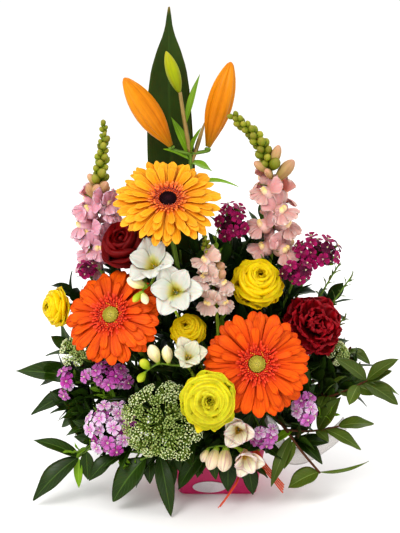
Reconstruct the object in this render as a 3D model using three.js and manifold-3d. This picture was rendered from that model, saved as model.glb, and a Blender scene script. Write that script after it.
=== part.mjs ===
// A florist's arrangement of cut flowers in a magenta posy box, with wet foam inside that holds every stem.
// Millimetres, +Z up, front towards -Y. The origin is the centre of the box's underside.
import * as THREE from "three";
import { mergeVertices } from "three/addons/utils/BufferGeometryUtils.js";
import Module from "manifold-3d";

const wasm = await Module();
wasm.setup();
const V = (x, y, z) => new THREE.Vector3(x, y, z);

// ---------- driving dimensions ----------
const box = { base: 78, top: 98, high: 62, wall: 1.8, corner: 7 };
const liner = { base: 72, top: 86, high: 52, wall: 1.2 };
const foam = { base: 68.6, top: 84, high: 86, corner: 6, chamfer: 7 };
const gap = 0.35; // clearance between pieces that touch
// The stems fan out from the hub. Each is straight from foot to exit, and rises by at least `lowest` degrees.
const hub = V(0, 2, 14);
const fan = { foot: 46, exit: 92, lowest: 50 };
const tau = Math.PI * 2;
const degree = Math.PI / 180;
const golden = 2.4; // radians between one floret and the next

// The front view in which blooms and leaves are placed: across, down (in a frame of 400 by 533) and depth Y.
const view = { across: 200, down: 266.5, reach: 1400, rise: 14 * degree, x: -18, z: 227.6 };

const hues = {
  magentaBox: 0xb02a6c, silver: 0xb9b2b4, clearTray: 0xcfd8d2, foam: 0x2f5a3a, ribbon: 0xcfc6c0,
  raffia: 0xdf4a0c, gold: 0xfbb62a, orange: 0xf95c06, darkEye: 0x2b0a16, limeEye: 0xb2ae45,
  stem: 0x55722a, leaf: 0x2c4a12, lily: 0xf2961c, snapdragon: 0xd99aa0, cream: 0xf0eddd,
  red: 0x7a0414, yellow: 0xf3d900, magenta: 0xa0105f, pink: 0xcf7cc4, lace: 0xb9c98a,
};

// ---------- placing ----------

// The point seen at (across, down) whose depth is y.
function seen([across, down, y]) {
  const a = (across - view.across) / view.reach;
  const b = (view.down - down) / view.reach;
  const [c, s] = [Math.cos(view.rise), Math.sin(view.rise)];
  const t = (y + view.reach * c) / (c + b * s);
  return V(view.x + t * a, y, view.z + view.reach * s + t * (b * c - s));
}

// A direction: turn is round from the front towards +X, rise is above the horizon, both in degrees.
function aim(turn, rise) {
  const [t, r] = [turn * degree, rise * degree];
  return V(Math.sin(t) * Math.cos(r), -Math.cos(t) * Math.cos(r), Math.sin(r));
}

// A frame at a point whose Z is `face` and whose X is level, turned by roll about Z.
function pose(at, face, roll = 0) {
  const z = face.clone().normalize();
  const x = V(0, 0, 1).cross(z);
  if (x.length() < 0.05) x.set(1, 0, 0);
  x.normalize();
  const m = new THREE.Matrix4().makeBasis(x, z.clone().cross(x), z).setPosition(at);
  return m.multiply(new THREE.Matrix4().makeRotationZ(roll));
}

// A frame at base whose X runs to tip and whose Z leans to `up`.
function reach(base, tip, up = V(0, -0.45, 0.9), roll = 0) {
  const x = tip.clone().sub(base).normalize();
  const z = up.clone().addScaledVector(x, -up.dot(x)).normalize();
  const m = new THREE.Matrix4().makeBasis(x, z.clone().cross(x), z).setPosition(base);
  return m.multiply(new THREE.Matrix4().makeRotationX(roll));
}

const turned = (angle) => new THREE.Matrix4().makeRotationZ(angle);
const moved = (x, y, z) => new THREE.Matrix4().makeTranslation(x, y, z);
const tipped = (angle) => new THREE.Matrix4().makeRotationY(-angle); // lifts +X towards +Z

// ---------- solids ----------
function solid(geometry, matrix) {
  const g = geometry.clone();
  if (matrix) g.applyMatrix4(matrix);
  g.deleteAttribute("normal");
  g.deleteAttribute("uv");
  const merged = mergeVertices(g, 1e-3);
  const made = new wasm.Manifold(
    new wasm.Mesh({
      numProp: 3,
      vertProperties: new Float32Array(merged.attributes.position.array),
      triVerts: new Uint32Array(merged.index.array),
    }),
  );
  if (made.volume() <= 0) throw new Error("a solid is inside out");
  return made;
}

const join = (solids) => wasm.Manifold.union(solids.flat(3));

// A closed skin from pole to pole: place(u, angle) gives the point at share u of the way, at that angle.
function drawn(sides, rings, place) {
  const geometry = new THREE.SphereGeometry(1, sides, rings);
  const position = geometry.attributes.position;
  for (let i = 0; i < position.count; i++) {
    const ring = Math.floor(i / (sides + 1));
    const side = i % (sides + 1) % sides;
    const p = place(ring / rings, (-side / sides) * tau);
    position.setXYZ(i, p.x, p.y, p.z);
  }
  return geometry;
}

// The point at share s of an arc of that length in the XZ plane, which starts at pitch and turns by bend.
function arc(length, pitch, bend, s) {
  const end = pitch + bend * s;
  if (Math.abs(bend) < 1e-4) return { x: length * s * Math.cos(end), z: length * s * Math.sin(end), end };
  const r = length / bend;
  return { x: r * (Math.sin(end) - Math.sin(pitch)), z: -r * (Math.cos(end) - Math.cos(pitch)), end };
}

// Half-width outlines of petals and leaves, from base (0) to tip (1).
const outline = {
  leaf: (s) => Math.sin(Math.PI * s ** 0.85) ** 0.85,
  strap: (s) => Math.min(1, 0.3 + 1.1 * s) * Math.min(1, (1.04 - s) / 0.2) ** 0.5,
  fan: (s) => Math.min(1, 0.14 + 1.15 * s) * Math.min(1, (1.06 - s) / 0.3) ** 0.5,
  spear: (s) => Math.min(1, 0.55 + 1.6 * s) * Math.min(1, (1.02 - s) / 0.62) ** 0.8,
};

// A petal or leaf blade that grows along +X with its face up +Z. `blunt` crowds its rings to the tip.
function blade(o) {
  const { length, width, thick = 1.3, sides = 4, rings = 4, shape = outline.leaf } = o;
  const { pitch = 0, bend = 0, fold = 0, blunt } = o;
  return drawn(sides, rings, (u, a) => {
    const s = blunt ? 1 - (1 - u) ** blunt : 0.5 - 0.5 * Math.cos(Math.PI * u);
    const p = arc(length, pitch, bend, s);
    const half = u === 0 || u === 1 ? 0 : (width / 2) * shape(s);
    const y = half * Math.cos(a);
    const lift = half ? (thick / 2) * Math.sin(a) + (fold * y * y * 2) / width : 0;
    return V(p.x - lift * Math.sin(p.end), y, p.z + lift * Math.cos(p.end));
  });
}

// A leaf blade from base to tip that bows upwards between them.
function leafBetween(base, tip, o) {
  const bow = o.bow ?? 0.5;
  const chord = base.distanceTo(tip);
  const length = (chord * (bow / 2)) / Math.sin(bow / 2);
  const g = blade({ thick: 1.4, fold: 0.25, ...o, length, pitch: bow / 2, bend: -bow });
  return solid(g, reach(base, tip, o.up, o.roll ?? 0));
}

// A tube through points, closed flat at both ends. section(share, angle) gives its outline across two axes.
function tube(points, section, sides = 4, normal = V(0.3, 0.2, 0.9)) {
  const across = [];
  let last = normal;
  points.forEach((p, i) => {
    const ahead = points[Math.min(i + 1, points.length - 1)];
    const t = ahead.clone().sub(points[Math.max(i - 1, 0)]).normalize();
    last = last.clone().addScaledVector(t, -last.dot(t)).normalize();
    across.push([last, t.clone().cross(last)]);
  });
  const rings = points.length + 1;
  return drawn(sides, rings, (u, a) => {
    const ring = Math.round(u * rings);
    const i = Math.min(Math.max(ring - 1, 0), points.length - 1);
    if (ring === 0 || ring === rings) return points[i].clone();
    const [p, q] = section(i / (points.length - 1), a);
    return points[i].clone().addScaledVector(across[i][0], p).addScaledVector(across[i][1], q);
  });
}

const round = (radius) => (share, a) => [radius * Math.cos(a), radius * Math.sin(a)];
const flat = (width, thick) => (share, a) => {
  const corner = a + tau / 8;
  return [(width / 2) * Math.sign(Math.cos(corner)), (thick / 2) * Math.sign(Math.sin(corner))];
};

// A pointed bud from base to tip.
function bud(base, tip, wide, o = {}) {
  const { sides = 5, rings = 3, belly = 0.5, ridges = 0 } = o;
  const length = base.distanceTo(tip);
  const skew = Math.log(0.5) / Math.log(belly); // puts the widest ring at share `belly`
  const g = drawn(sides, rings, (u, a) => {
    const s = 0.5 - 0.5 * Math.cos(Math.PI * u);
    const r = u === 0 || u === 1 ? 0 : (wide / 2) * Math.sin(Math.PI * s ** skew) ** 0.7;
    const k = 1 - ridges * Math.abs(Math.cos(1.5 * a));
    return V(s * length, r * k * Math.cos(a), r * k * Math.sin(a));
  });
  return solid(g, reach(base, tip));
}

// A turned solid: the profile lists [radius, height] from axis to axis.
function lathe(profile, sides, matrix) {
  const points = profile.map(([r, z]) => new THREE.Vector2(r, z));
  return solid(new THREE.LatheGeometry(points, sides).rotateX(tau / 4), matrix);
}

// A thin flat floret with five lobes, which faces +Z.
function star(radius, thick, waist = 0.66) {
  return drawn(10, 2, (u, a) => {
    if (u !== 0.5) return V(0, 0, (u - 0.5) * thick);
    const r = Math.round((a / tau) * 10) % 2 ? radius * waist : radius;
    return V(r * Math.cos(a), r * Math.sin(a), 0);
  });
}

// A point inside a star and off its centre, where one facet meets the stalk.
const besideCentre = (frame, radius) => V(0.25 * radius, 0.08 * radius, 0).applyMatrix4(frame);

// A three-sided stalk between two points, widest at that share of its length.
function stalk(from, to, radius, widest) {
  const g = drawn(3, 2, (u, a) => {
    const r = u === 0.5 ? radius : 0;
    return V(from.distanceTo(to) * [0, widest, 1][u * 2], r * Math.cos(a), r * Math.sin(a));
  });
  return solid(g, reach(from, to));
}

// Petals in rings round the Z axis of `head`. Each ring gives its count, its root and its petals' curve.
function whorls(head, rings) {
  return rings.flatMap(({ count, start, lift, sway = 0.08, ...form }, k) =>
    Array.from({ length: count }, (_, i) => {
      const nod = sway * Math.sin(i * 4.7 + k * 2.1);
      const length = form.length * (1 + 0.05 * Math.sin(i * 2.9 + k));
      const petal = blade({ ...form, length, pitch: form.pitch + nod });
      const spin = turned(((i + k * 0.5) / count) * tau + 0.4 * nod);
      return solid(petal, head.clone().multiply(spin).multiply(moved(start, 0, lift)));
    }),
  );
}

// Points spread evenly over a dome, each with its outward direction, in the dome's own frame.
function domePoints(count, [sx, sy, sz]) {
  return Array.from({ length: count }, (_, i) => {
    const h = 1 - ((i + 0.5) / count) * 0.92;
    const [r, a] = [Math.sqrt(1 - h * h), i * golden];
    const [x, y] = [r * Math.cos(a), r * Math.sin(a)];
    return { at: V(x * sx, y * sy, h * sz), out: V(x, y, h + 0.5) };
  });
}

// ---------- stems and clearance ----------
const holes = []; // the foam is pierced by each stem's own tube, a little wider
const taken = []; // every solid that later stems and leaves keep clear of

function keep(owner, body) {
  taken.push({ owner, body, bounds: body.boundingBox() });
  return body;
}

function free(body, ...owners) {
  const b = body.boundingBox();
  return taken.every((t) => {
    if (owners.includes(t.owner)) return true;
    const apart = [0, 1, 2].some((k) => b.min[k] > t.bounds.max[k] || b.max[k] < t.bounds.min[k]);
    return apart || body.intersect(t.body).isEmpty();
  });
}

const longSpan = 90; // a stem that spans more has one point more

// Centreline from the foam to the first of `points`, where it arrives along `face`, then through the rest.
function route(points, face, { turn, rise, bow }) {
  const [at, ...rest] = points;
  const away = at.clone().sub(hub);
  const level = Math.atan2(away.x, -away.y) / degree + turn;
  const slope = Math.atan2(away.z, Math.hypot(away.x, away.y)) / degree;
  const out = aim(level, Math.min(Math.max(slope, fan.lowest) + rise, 88));
  const [foot, exit] = [fan.foot, fan.exit].map((far) => hub.clone().addScaledVector(out, far));
  const span = exit.distanceTo(at);
  const swing = exit.clone().addScaledVector(out, span * 0.35);
  const neck = at.clone().addScaledVector(face, -bow * span);
  const curve = new THREE.CubicBezierCurve3(exit, swing, neck, at);
  return [foot, ...curve.getPoints(span > longSpan ? 4 : 3), ...rest];
}

// The ways in which a stem may go round what is already there, the straightest first.
const detours = [0, 7, -7, 14, -14, 22, -22, 32, -32, 44, -44].flatMap((turn) =>
  [0, 8, 18, 30].flatMap((rise) => [0.25, 0.12, 0.4].map((bow) => ({ turn, rise, bow }))),
);

// A stem on the first way that is clear, with the sleeve of space round it that pierces the foam.
function stem(owner, points, face, radius) {
  const sides = radius < 2 ? 3 : 4;
  for (const way of detours) {
    const line = route(points, face, way);
    const foot = line[0].clone().sub(line[1]).setLength(gap).add(line[0]);
    const sleeve = solid(tube([foot, ...line.slice(1)], round(radius + gap * 1.5), sides));
    if (!free(sleeve, owner, "floral_foam")) continue;
    return { line, sleeve, body: solid(tube(line, round(radius), sides)) };
  }
  throw new Error(`${owner} has no clear way for its stem`);
}

// The point of several centrelines nearest to p, kept off their ends.
function nearestOn(lines, p) {
  const near = lines.flatMap((line) =>
    line.slice(1).map((end, i) => {
      const along = end.clone().sub(line[i]);
      const share = p.clone().sub(line[i]).dot(along) / along.lengthSq();
      return line[i].clone().addScaledVector(along, Math.min(Math.max(share, 0.06), 0.94));
    }),
  );
  return near.reduce((a, b) => (a.distanceTo(p) < b.distanceTo(p) ? a : b));
}

// The rolls of a leaf and the depths of its tip that are tried. It looks alike from the front.
const tilts = [0, 18, -18, 36, -36, 54, -54].flatMap((roll) =>
  [0, 7, -7, 14, -14].map((shift) => ({ roll: roll * degree, shift })),
);

function leaf(owner, { from, to, wide, bow = 0.5, up, ...form }, lines) {
  const base = nearestOn(lines, seen(from));
  const make = ({ roll, shift }, extra) => {
    const tip = seen([to[0], to[1], to[2] + shift]);
    const o = { bow, up, roll, ...form, width: wide + 2 * extra, thick: 1.4 + 2 * extra };
    return leafBetween(base, tip, o);
  };
  const tilt = tilts.find((t) => free(make(t, gap), owner));
  if (!tilt) throw new Error(`${owner} has no clear place for its leaf to ${to}`);
  return make(tilt, 0);
}

// ---------- scene graph ----------
const group = new THREE.Group();

function add(name, body, hue, roughness = 0.6, metalness = 0) {
  const { vertProperties, triVerts } = body.getMesh();
  const geometry = new THREE.BufferGeometry();
  geometry.setAttribute("position", new THREE.BufferAttribute(vertProperties, 3));
  geometry.setIndex(new THREE.BufferAttribute(triVerts, 1));
  geometry.computeVertexNormals();
  const material = new THREE.MeshStandardMaterial({ color: hue, roughness, metalness });
  const mesh = new THREE.Mesh(geometry, material);
  mesh.name = name;
  group.add(mesh);
}

// ---------- the holder ----------
function roundedSquare(wide, corner) {
  const h = wide / 2;
  const shape = new THREE.Shape();
  shape.absarc(h - corner, h - corner, corner, 0, tau / 4);
  shape.absarc(corner - h, h - corner, corner, tau / 4, tau / 2);
  shape.absarc(corner - h, corner - h, corner, tau / 2, (tau * 3) / 4);
  shape.absarc(h - corner, corner - h, corner, (tau * 3) / 4, tau);
  return shape;
}

// A block on a rounded square, whose width goes from `low` to `high` between two heights.
function tapered(low, high, from, to, corner, curveSegments) {
  const options = { depth: to - from, bevelEnabled: false, curveSegments };
  const g = new THREE.ExtrudeGeometry(roundedSquare(low, corner), options);
  const position = g.attributes.position;
  for (let i = 0; i < position.count; i++) {
    const grown = position.getZ(i) > 0 ? high / low : 1;
    position.setXYZ(i, position.getX(i) * grown, position.getY(i) * grown, position.getZ(i) + from);
  }
  return solid(g);
}

const boxWidth = (z) => box.base + ((box.top - box.base) * z) / box.high;

function tray(outerBase, outerTop, floor, high, wall, corner, segments) {
  const spill = 2;
  const slope = (outerTop - outerBase) / high;
  const outer = tapered(outerBase, outerTop, floor, floor + high, corner, segments);
  const low = outerBase + slope * wall - 2 * wall;
  const top = outerTop + slope * spill - 2 * wall;
  return outer.subtract(tapered(low, top, floor + wall, floor + high + spill, corner - wall, segments));
}

const linerFloor = box.wall + gap;
const foamFloor = linerFloor + liner.wall + gap;

function holder() {
  add("gift_box", tray(box.base, box.top, 0, box.high, box.wall, box.corner, 2), hues.magentaBox, 0.45);
  const cup = keep("box_liner", tray(liner.base, liner.top, linerFloor, liner.high, liner.wall, 6, 1));
  add("box_liner", cup, hues.clearTray, 0.25);
}

// An oval seal on the front face, which leans outwards as the box widens.
const label = { across: 34, down: 13, thick: 0.8, x: -8.5, z: 8.6 };
function seal() {
  const shape = new THREE.Shape();
  shape.absellipse(0, 0, label.across / 2, label.down / 2, 0, tau);
  const g = new THREE.ExtrudeGeometry(shape, { depth: label.thick, bevelEnabled: false, curveSegments: 7 });
  const lean = Math.atan2((box.top - box.base) / 2, box.high);
  const out = V(0, -Math.cos(lean), -Math.sin(lean));
  const at = V(label.x, -boxWidth(label.z) / 2, label.z).addScaledVector(out, gap);
  add("box_label", solid(g, pose(at, out)), hues.silver, 0.35, 0.4);
}

function foamBlock() {
  const shoulder = foam.high - foam.chamfer;
  const body = tapered(foam.base, foam.top, foamFloor, shoulder, foam.corner, 1);
  const crown = tapered(foam.top, foam.top - 2 * foam.chamfer, shoulder - 0.01, foam.high, foam.corner, 1);
  return keep("floral_foam", join([body, crown]));
}

// Ribbon and raffia are pinned in the foam and hang over the rim.
const trims = {
  ribbon_loop: {
    hue: hues.ribbon, width: 22, thick: 0.9, across: V(0, 0.35, 1),
    line: [
      V(33, -33, 75), V(47, -51, 77), V(60, -55, 56), V(78, -52, 46), V(98, -47, 50), V(116, -38, 62),
      V(128, -28, 72),
    ],
  },
  raffia_wide: {
    hue: hues.raffia, width: 6, thick: 0.9, across: V(1, 0, 0.3),
    line: [
      V(25, -33, 70), V(28, -53, 70), V(34, -60, 60), V(45, -66, 42), V(57, -70, 28), V(66, -71, 17),
    ],
  },
  raffia_thin: {
    hue: hues.raffia, width: 1.8, thick: 1, across: V(1, 0, 0.3),
    line: [
      V(12, -33, 68), V(14, -53, 69), V(21, -60, 57), V(22, -65, 44), V(19, -75, 30), V(10, -87, 20),
      V(0, -97, 10),
    ],
  },
};

function trim(name, { line, width, thick, across, hue }) {
  holes.push(solid(tube(line, flat(width + 2 * gap, thick + 2 * gap), 4, across)));
  add(name, keep(name, solid(tube(line, flat(width, thick), 4, across))), hue);
}

// ---------- flowers ----------
const plants = []; // a head with the stem that it still needs

// A head in one piece with its stem, or apart from it where stemName is given. The stem from the foam ends
// at the first point of `line`.
function plant(name, head, hue, line, face, radius, stemName, collar = []) {
  keep(name, join([head, collar]));
  plants.push({ name, head, hue, line, face, radius, stemName, collar });
}

function growStems() {
  for (const { name, head, hue, line, face, radius, stemName, collar } of plants) {
    const grown = stem(name, line, face, radius);
    holes.push(grown.sleeve);
    keep(name, grown.body);
    if (stemName) add(stemName, join([grown.body, collar]), hues.stem);
    add(name, join(stemName ? [head] : [head, collar, grown.body]), hue);
  }
}

const gerberas = {
  gerbera_yellow: {
    at: [168, 199, -45], turn: 0, rise: 50, radius: 53, droop: 0.3, hue: hues.gold, eyeHue: hues.darkEye,
  },
  gerbera_left: {
    at: [111, 315, -62], turn: -22, rise: 32, radius: 50, droop: 0.45, hue: hues.orange,
    eyeHue: hues.limeEye,
  },
  gerbera_right: {
    at: [257, 364, -90], turn: 3, rise: 20, radius: 51, droop: 0.25, hue: hues.orange,
    eyeHue: hues.limeEye,
  },
};
const eye = { radius: 8, high: 4.5, sides: 9 };
const disc = { inner: eye.radius + gap, outer: 18, low: -3.5, high: 2 };

function gerbera(name, { at, turn, rise, radius, droop, hue, eyeHue }) {
  const face = aim(turn, rise);
  const head = pose(seen(at), face);
  const { inner, outer, low, high } = disc;
  const hoop = [[inner, low], [outer, low], [outer - 2, 0.6], [inner, high], [inner, low]];
  const ray = { fold: 0.16, thick: 1.4, shape: outline.strap, rings: 3, blunt: 1.8 };
  const petals = whorls(head, [
    { ...ray, count: 17, start: 15, lift: -1.4, length: radius - 15, width: 12.8, pitch: 0.08, bend: -droop },
    { ...ray, count: 9, start: 13, lift: 0.3, length: radius - 23, width: 9.6, pitch: 0.38, bend: -droop },
    { ...ray, count: 6, start: 11.5, lift: 1, length: 8.5, width: 4, pitch: 0.95, bend: -0.3, rings: 2 },
  ]);
  const { radius: rim, high: crown } = eye;
  const dome = [[0, low], [rim, low], [rim, high], [rim * 0.6, crown], [0, crown - 1]];
  add(name + "_eye", keep(name, lathe(dome, eye.sides, head)), eyeHue);
  const under = low - gap;
  const collar = lathe([[0, under - 9], [3, under - 8], [11, under - 0.6], [0, under]], 8, head);
  const neck = V(0, 0, under - 7).applyMatrix4(head);
  const bloom = join([lathe(hoop, eye.sides, head), petals]);
  plant(name + "_petals", bloom, hue, [neck], face, 2.7, name + "_stem", collar);
}

// The petals of a ball-shaped bloom from the outside in, with lengths in shares of its radius.
const cupped = [
  { count: 6, start: 0.26, lift: 0.14, length: 0.96, width: 0.92, pitch: -0.05, bend: 1.3, rings: 3 },
  { count: 4, start: 0.24, lift: 0.3, length: 0.78, width: 0.84, pitch: 0.5, bend: 1.15, rings: 3 },
  { count: 3, start: 0.2, lift: 0.5, length: 0.5, width: 0.56, pitch: 1.05, bend: 0.7, rings: 2 },
];
const frilled = [
  { count: 7, start: 0.24, lift: 0.16, length: 0.78, width: 0.6, pitch: 0.02, bend: 0.3, rings: 2 },
  { count: 6, start: 0.26, lift: 0.3, length: 0.64, width: 0.52, pitch: 0.5, bend: 0.3, rings: 2 },
  { count: 4, start: 0.22, lift: 0.5, length: 0.52, width: 0.44, pitch: 1, bend: 0.2, rings: 2 },
];
const balls = {
  ranunculus_right: { at: [258, 279, -42], turn: 6, rise: 38, radius: 24, hue: hues.yellow },
  ranunculus_middle: { at: [187, 328, -66], turn: -12, rise: 40, radius: 16.5, hue: hues.yellow },
  ranunculus_low: { at: [208, 402, -119], turn: -6, rise: 10, radius: 26.5, hue: hues.yellow },
  ranunculus_side: { at: [53, 307, -22], turn: -62, rise: 8, radius: 18, hue: hues.yellow },
  ranunculus_red: { at: [122, 240, -34], turn: -30, rise: 44, radius: 25, hue: hues.red },
  carnation: { at: [315, 325, -34], turn: 14, rise: 22, radius: 32, hue: hues.red, layers: frilled },
};

function ball(name, { at, turn, rise, radius: r, hue, layers = cupped }) {
  const face = aim(turn, rise);
  const head = pose(seen(at).addScaledVector(face, -0.55 * r), face);
  const core = [[0, 0], [0.34 * r, 0.12 * r], [0.34 * r, 0.62 * r], [0, 0.9 * r]];
  const rings = layers.map(({ start, lift, length, width, ...curve }) => ({
    ...{ shape: outline.fan, thick: 1.3, fold: 0.28, blunt: 1.5, ...curve },
    ...{ start: start * r, lift: lift * r, length: length * r, width: width * r },
  }));
  const under = -gap;
  const collar = lathe([[0, under - 7], [2.4, under - 6], [0.3 * r, under - 0.6], [0, under]], 7, head);
  const neck = V(0, 0, under - 5).applyMatrix4(head);
  const bloom = join([lathe(core, 6, head), whorls(head, rings)]);
  plant(name + "_bloom", bloom, hue, [neck], face, 2.1, name + "_stem", collar);
}

// Flat-topped heads: sweet william, and the lace flower whose florets are themselves small domes.
const clusters = {
  sweet_william_magenta_centre: {
    at: [232, 221, -8], turn: 0, rise: 40, spread: [15, 19, 9], count: 6, size: 8, hue: hues.magenta,
  },
  sweet_william_magenta_right_top: {
    at: [318, 252, -14], turn: 12, rise: 40, spread: [23, 17, 9], count: 8, size: 8, hue: hues.magenta,
  },
  sweet_william_magenta_right_low: {
    at: [298, 272, -38], turn: 5, rise: 30, spread: [15, 10, 6], count: 4, size: 7.5, hue: hues.magenta,
  },
  sweet_william_magenta_left: {
    at: [86, 269, -24], turn: -20, rise: 40, spread: [7, 6, 5], count: 3, size: 8, hue: hues.magenta,
  },
  sweet_william_pink_left_top: {
    at: [108, 376, -52], turn: -8, rise: 20, spread: [25, 10, 6], count: 5, size: 8.5, hue: hues.pink,
  },
  sweet_william_pink_left_mid: {
    at: [66, 381, -36], turn: -30, rise: 20, spread: [6, 15, 5], count: 3, size: 7, hue: hues.pink,
  },
  sweet_william_pink_left_low: {
    at: [109, 428, -74], turn: -10, rise: 25, spread: [23, 25, 9], count: 8, size: 9.5, hue: hues.pink,
  },
  sweet_william_pink_right_low: {
    at: [265, 437, -80], turn: 5, rise: 15, spread: [12, 10, 5], count: 4, size: 8, hue: hues.pink,
  },
  sweet_william_pink_right_top: {
    at: [305, 408, -72], turn: 14, rise: 25, spread: [10, 15, 6], count: 4, size: 9, hue: hues.pink,
  },
  lace_front: {
    at: [163, 421, -92], turn: -4, rise: 22, spread: [37, 34, 13], count: 10, size: 10.5, hue: hues.lace,
  },
  lace_left: {
    at: [76, 350, -30], turn: -20, rise: 40, spread: [14, 10, 5], count: 4, size: 6.5, hue: hues.lace,
  },
  lace_right: {
    at: [337, 353, -18], turn: 20, rise: 40, spread: [10, 12, 5], count: 4, size: 6.5, hue: hues.lace,
  },
};

function cluster(name, { at, turn, rise, spread, count, size, hue }) {
  const face = aim(turn, rise);
  const head = pose(seen(at), face);
  const depth = 10 + 0.45 * Math.max(...spread);
  const knot = V(0, 0, -depth).applyMatrix4(head);
  const florets = domePoints(count, spread).map(({ at: p, out }, i) => {
    const lift = p.clone().add(V(0, 0, 1.6 * Math.sin(i * 2.3))).applyMatrix4(head);
    const facing = out.transformDirection(head);
    const flower = pose(lift, facing, i);
    return [solid(star(size, 2.4), flower), stalk(knot, besideCentre(flower, size), 1.4, 0.8)];
  });
  const ball = lathe([[0, -depth - 3], [2.8, -depth], [0, -depth + 4]], 4, head);
  plant(name, join([ball, florets]), hue, [knot], face, 1.5);
}

// Spires of snapdragon: open blossoms low down, then buds that shrink to the tip.
const spires = {
  snapdragon_left: {
    line: [[102, 268, 2], [98, 235, 2], [97, 205, 2], [100, 175, 2], [103, 150, 2], [104, 124, 2]],
    blossoms: 6, open: 0.5, reach: 24, buds: 6,
  },
  snapdragon_right: {
    line: [
      [270, 268, -2], [273, 235, -2], [274, 200, -2], [271, 170, -2], [258, 141, -2], [234, 116, -2],
    ],
    blossoms: 6, open: 0.6, reach: 25, buds: 5,
  },
  snapdragon_small: {
    line: [[216, 305, -50], [213, 285, -52], [210, 262, -52], [205, 237, -50]], blossoms: 4, open: 0.62,
    reach: 14, buds: 3,
  },
};

function spire(name, { line, blossoms, open, reach: far, buds }) {
  const points = line.map(seen);
  const axis = new THREE.CatmullRomCurve3(points);
  const at = (s) => axis.getPointAt(s);
  const outward = (s, a, tilt) => pose(at(s), axis.getTangentAt(s), a).multiply(tipped(tilt));
  const opened = Array.from({ length: blossoms }, (_, i) => {
    const s = (open * (i + 0.6)) / blossoms;
    const frame = outward(s, i * golden - 1.4, 0.35);
    const root = V(0.2, 0, 0).applyMatrix4(frame);
    const lip = V(far * 0.85, 0, 0).applyMatrix4(frame);
    const face = V(1, 0, -0.2).transformDirection(frame);
    const mouth = pose(lip, face, i);
    const throat = bud(root, besideCentre(mouth, far * 0.4), far * 0.36, { sides: 4, rings: 2, belly: 0.6 });
    return [throat, solid(star(far * 0.42, 3), mouth)];
  });
  const closed = Array.from({ length: buds }, (_, i) => {
    const s = open + ((1 - open) * (i + 0.4)) / buds;
    const long = far * (0.62 - 0.36 * (i / buds));
    const frame = outward(s, i * golden + 0.7, 0.8);
    const [root, tip] = [0.2, long].map((along) => V(along, 0, 0).applyMatrix4(frame));
    return bud(root, tip, long * 0.55, { sides: 4, rings: 2 });
  });
  plant(name, join([opened, closed]), hues.snapdragon, axis.getPoints(6), axis.getTangentAt(0), 1.7);
}

// Freesia: a bent spike with open funnels first and buds after them. `spike` runs to the last bud.
const freesias = {
  freesia_top: {
    spike: [[170, 300, -62], [162, 285, -62], [151, 284, -66], [141, 292, -72]],
    flowers: [
      { at: [175, 291, -82], turn: -4, rise: 24, radius: 22 },
      { at: [152, 263, -66], turn: -26, rise: 44, radius: 21 },
    ],
    buds: [
      [[147, 287, -68], [127, 279, -76], 11], [[142, 292, -72], [147, 304, -80], 7.5],
      [[141, 292, -72], [133, 302, -78], 6.5],
    ],
  },
  freesia_middle: {
    spike: [[186, 366, -70], [172, 365, -74], [158, 364, -78], [145, 372, -80]],
    flowers: [{ at: [189, 355, -92], turn: 10, rise: 38, radius: 17 }],
    buds: [
      [[169, 366, -76], [166, 346, -82], 8], [[158, 364, -78], [150, 345, -84], 9],
      [[149, 369, -80], [141, 360, -86], 7], [[145, 372, -80], [138, 382, -84], 6],
    ],
  },
  freesia_low: {
    spike: [[243, 441, -78], [231, 446, -82], [218, 446, -84], [208, 448, -84]],
    flowers: [
      { at: [238, 431, -98], turn: -6, rise: 12, radius: 15.5 },
      { at: [243, 462, -98], turn: 4, rise: -28, radius: 15.5 },
    ],
    buds: [
      [[226, 447, -83], [221, 469, -92], 10.5], [[218, 446, -84], [208, 467, -92], 8.5],
      [[208, 448, -84], [201, 459, -88], 5.5],
    ],
  },
};

function freesia(name, { spike, flowers, buds }) {
  const line = spike.map(seen);
  const open = flowers.map(({ at, turn, rise, radius: r }) => {
    const face = aim(turn, rise);
    const mouth = pose(seen(at), face);
    const root = line.reduce((a, b) => (a.distanceTo(seen(at)) < b.distanceTo(seen(at)) ? a : b));
    const back = V(0, 0, -14).applyMatrix4(mouth);
    const funnel = lathe([[0, -16], [5.5, -3], [0, -1]], 4, mouth);
    const form = { start: 2.5, length: r * 0.98, width: r * 0.66, bend: -0.35, fold: 0.3, thick: 1.4 };
    const petal = { ...form, count: 3, shape: outline.fan, blunt: 1.4 };
    const cup = [{ ...petal, lift: -5, pitch: 0.8, rings: 3 }, { ...petal, lift: -4, pitch: 0.56, rings: 2 }];
    return [solid(tube([root, back], round(1.6), 3)), funnel, whorls(mouth, cup)];
  });
  const closed = buds.map(([from, to, wide]) =>
    bud(nearestOn([line], seen(from)), seen(to), wide, { sides: 4, belly: 0.6 }),
  );
  const arrive = line[1].clone().sub(line[0]).normalize().add(V(0, -0.4, 0.6)).normalize();
  plant(name, join([open, closed]), hues.cream, line, arrive, 1.6);
}

// The lily: a green stem with one green bud and leaves, and two orange buds that are nodes of their own.
const lily = {
  stem: [[192, 230, 14], [191, 190, 16], [190, 152, 18], [184, 118, 18], [180, 92, 18]],
  greenBud: { from: [180, 94, 18], to: [166, 51, 18], wide: 13.5 },
  buds: {
    lily_bud_left: { from: [171, 146, 12], to: [124, 78, 2], wide: 26 },
    lily_bud_right: { from: [208, 147, 20], to: [231, 62, 22], wide: 25 },
  },
  leaves: [
    { from: [189, 160, 18], to: [163, 149, 8], wide: 9 },
    { from: [190, 162, 18], to: [212, 171, 20], wide: 12 },
    { from: [186, 125, 18], to: [200, 74, 24], wide: 7 },
    { from: [190, 158, 18], to: [171, 117, 30], wide: 10 },
    { from: [191, 186, 16], to: [239, 187, -2], wide: 7, bow: 1.1 },
    { from: [190, 155, 18], to: [201, 128, 10], wide: 7 },
  ],
};

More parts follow.
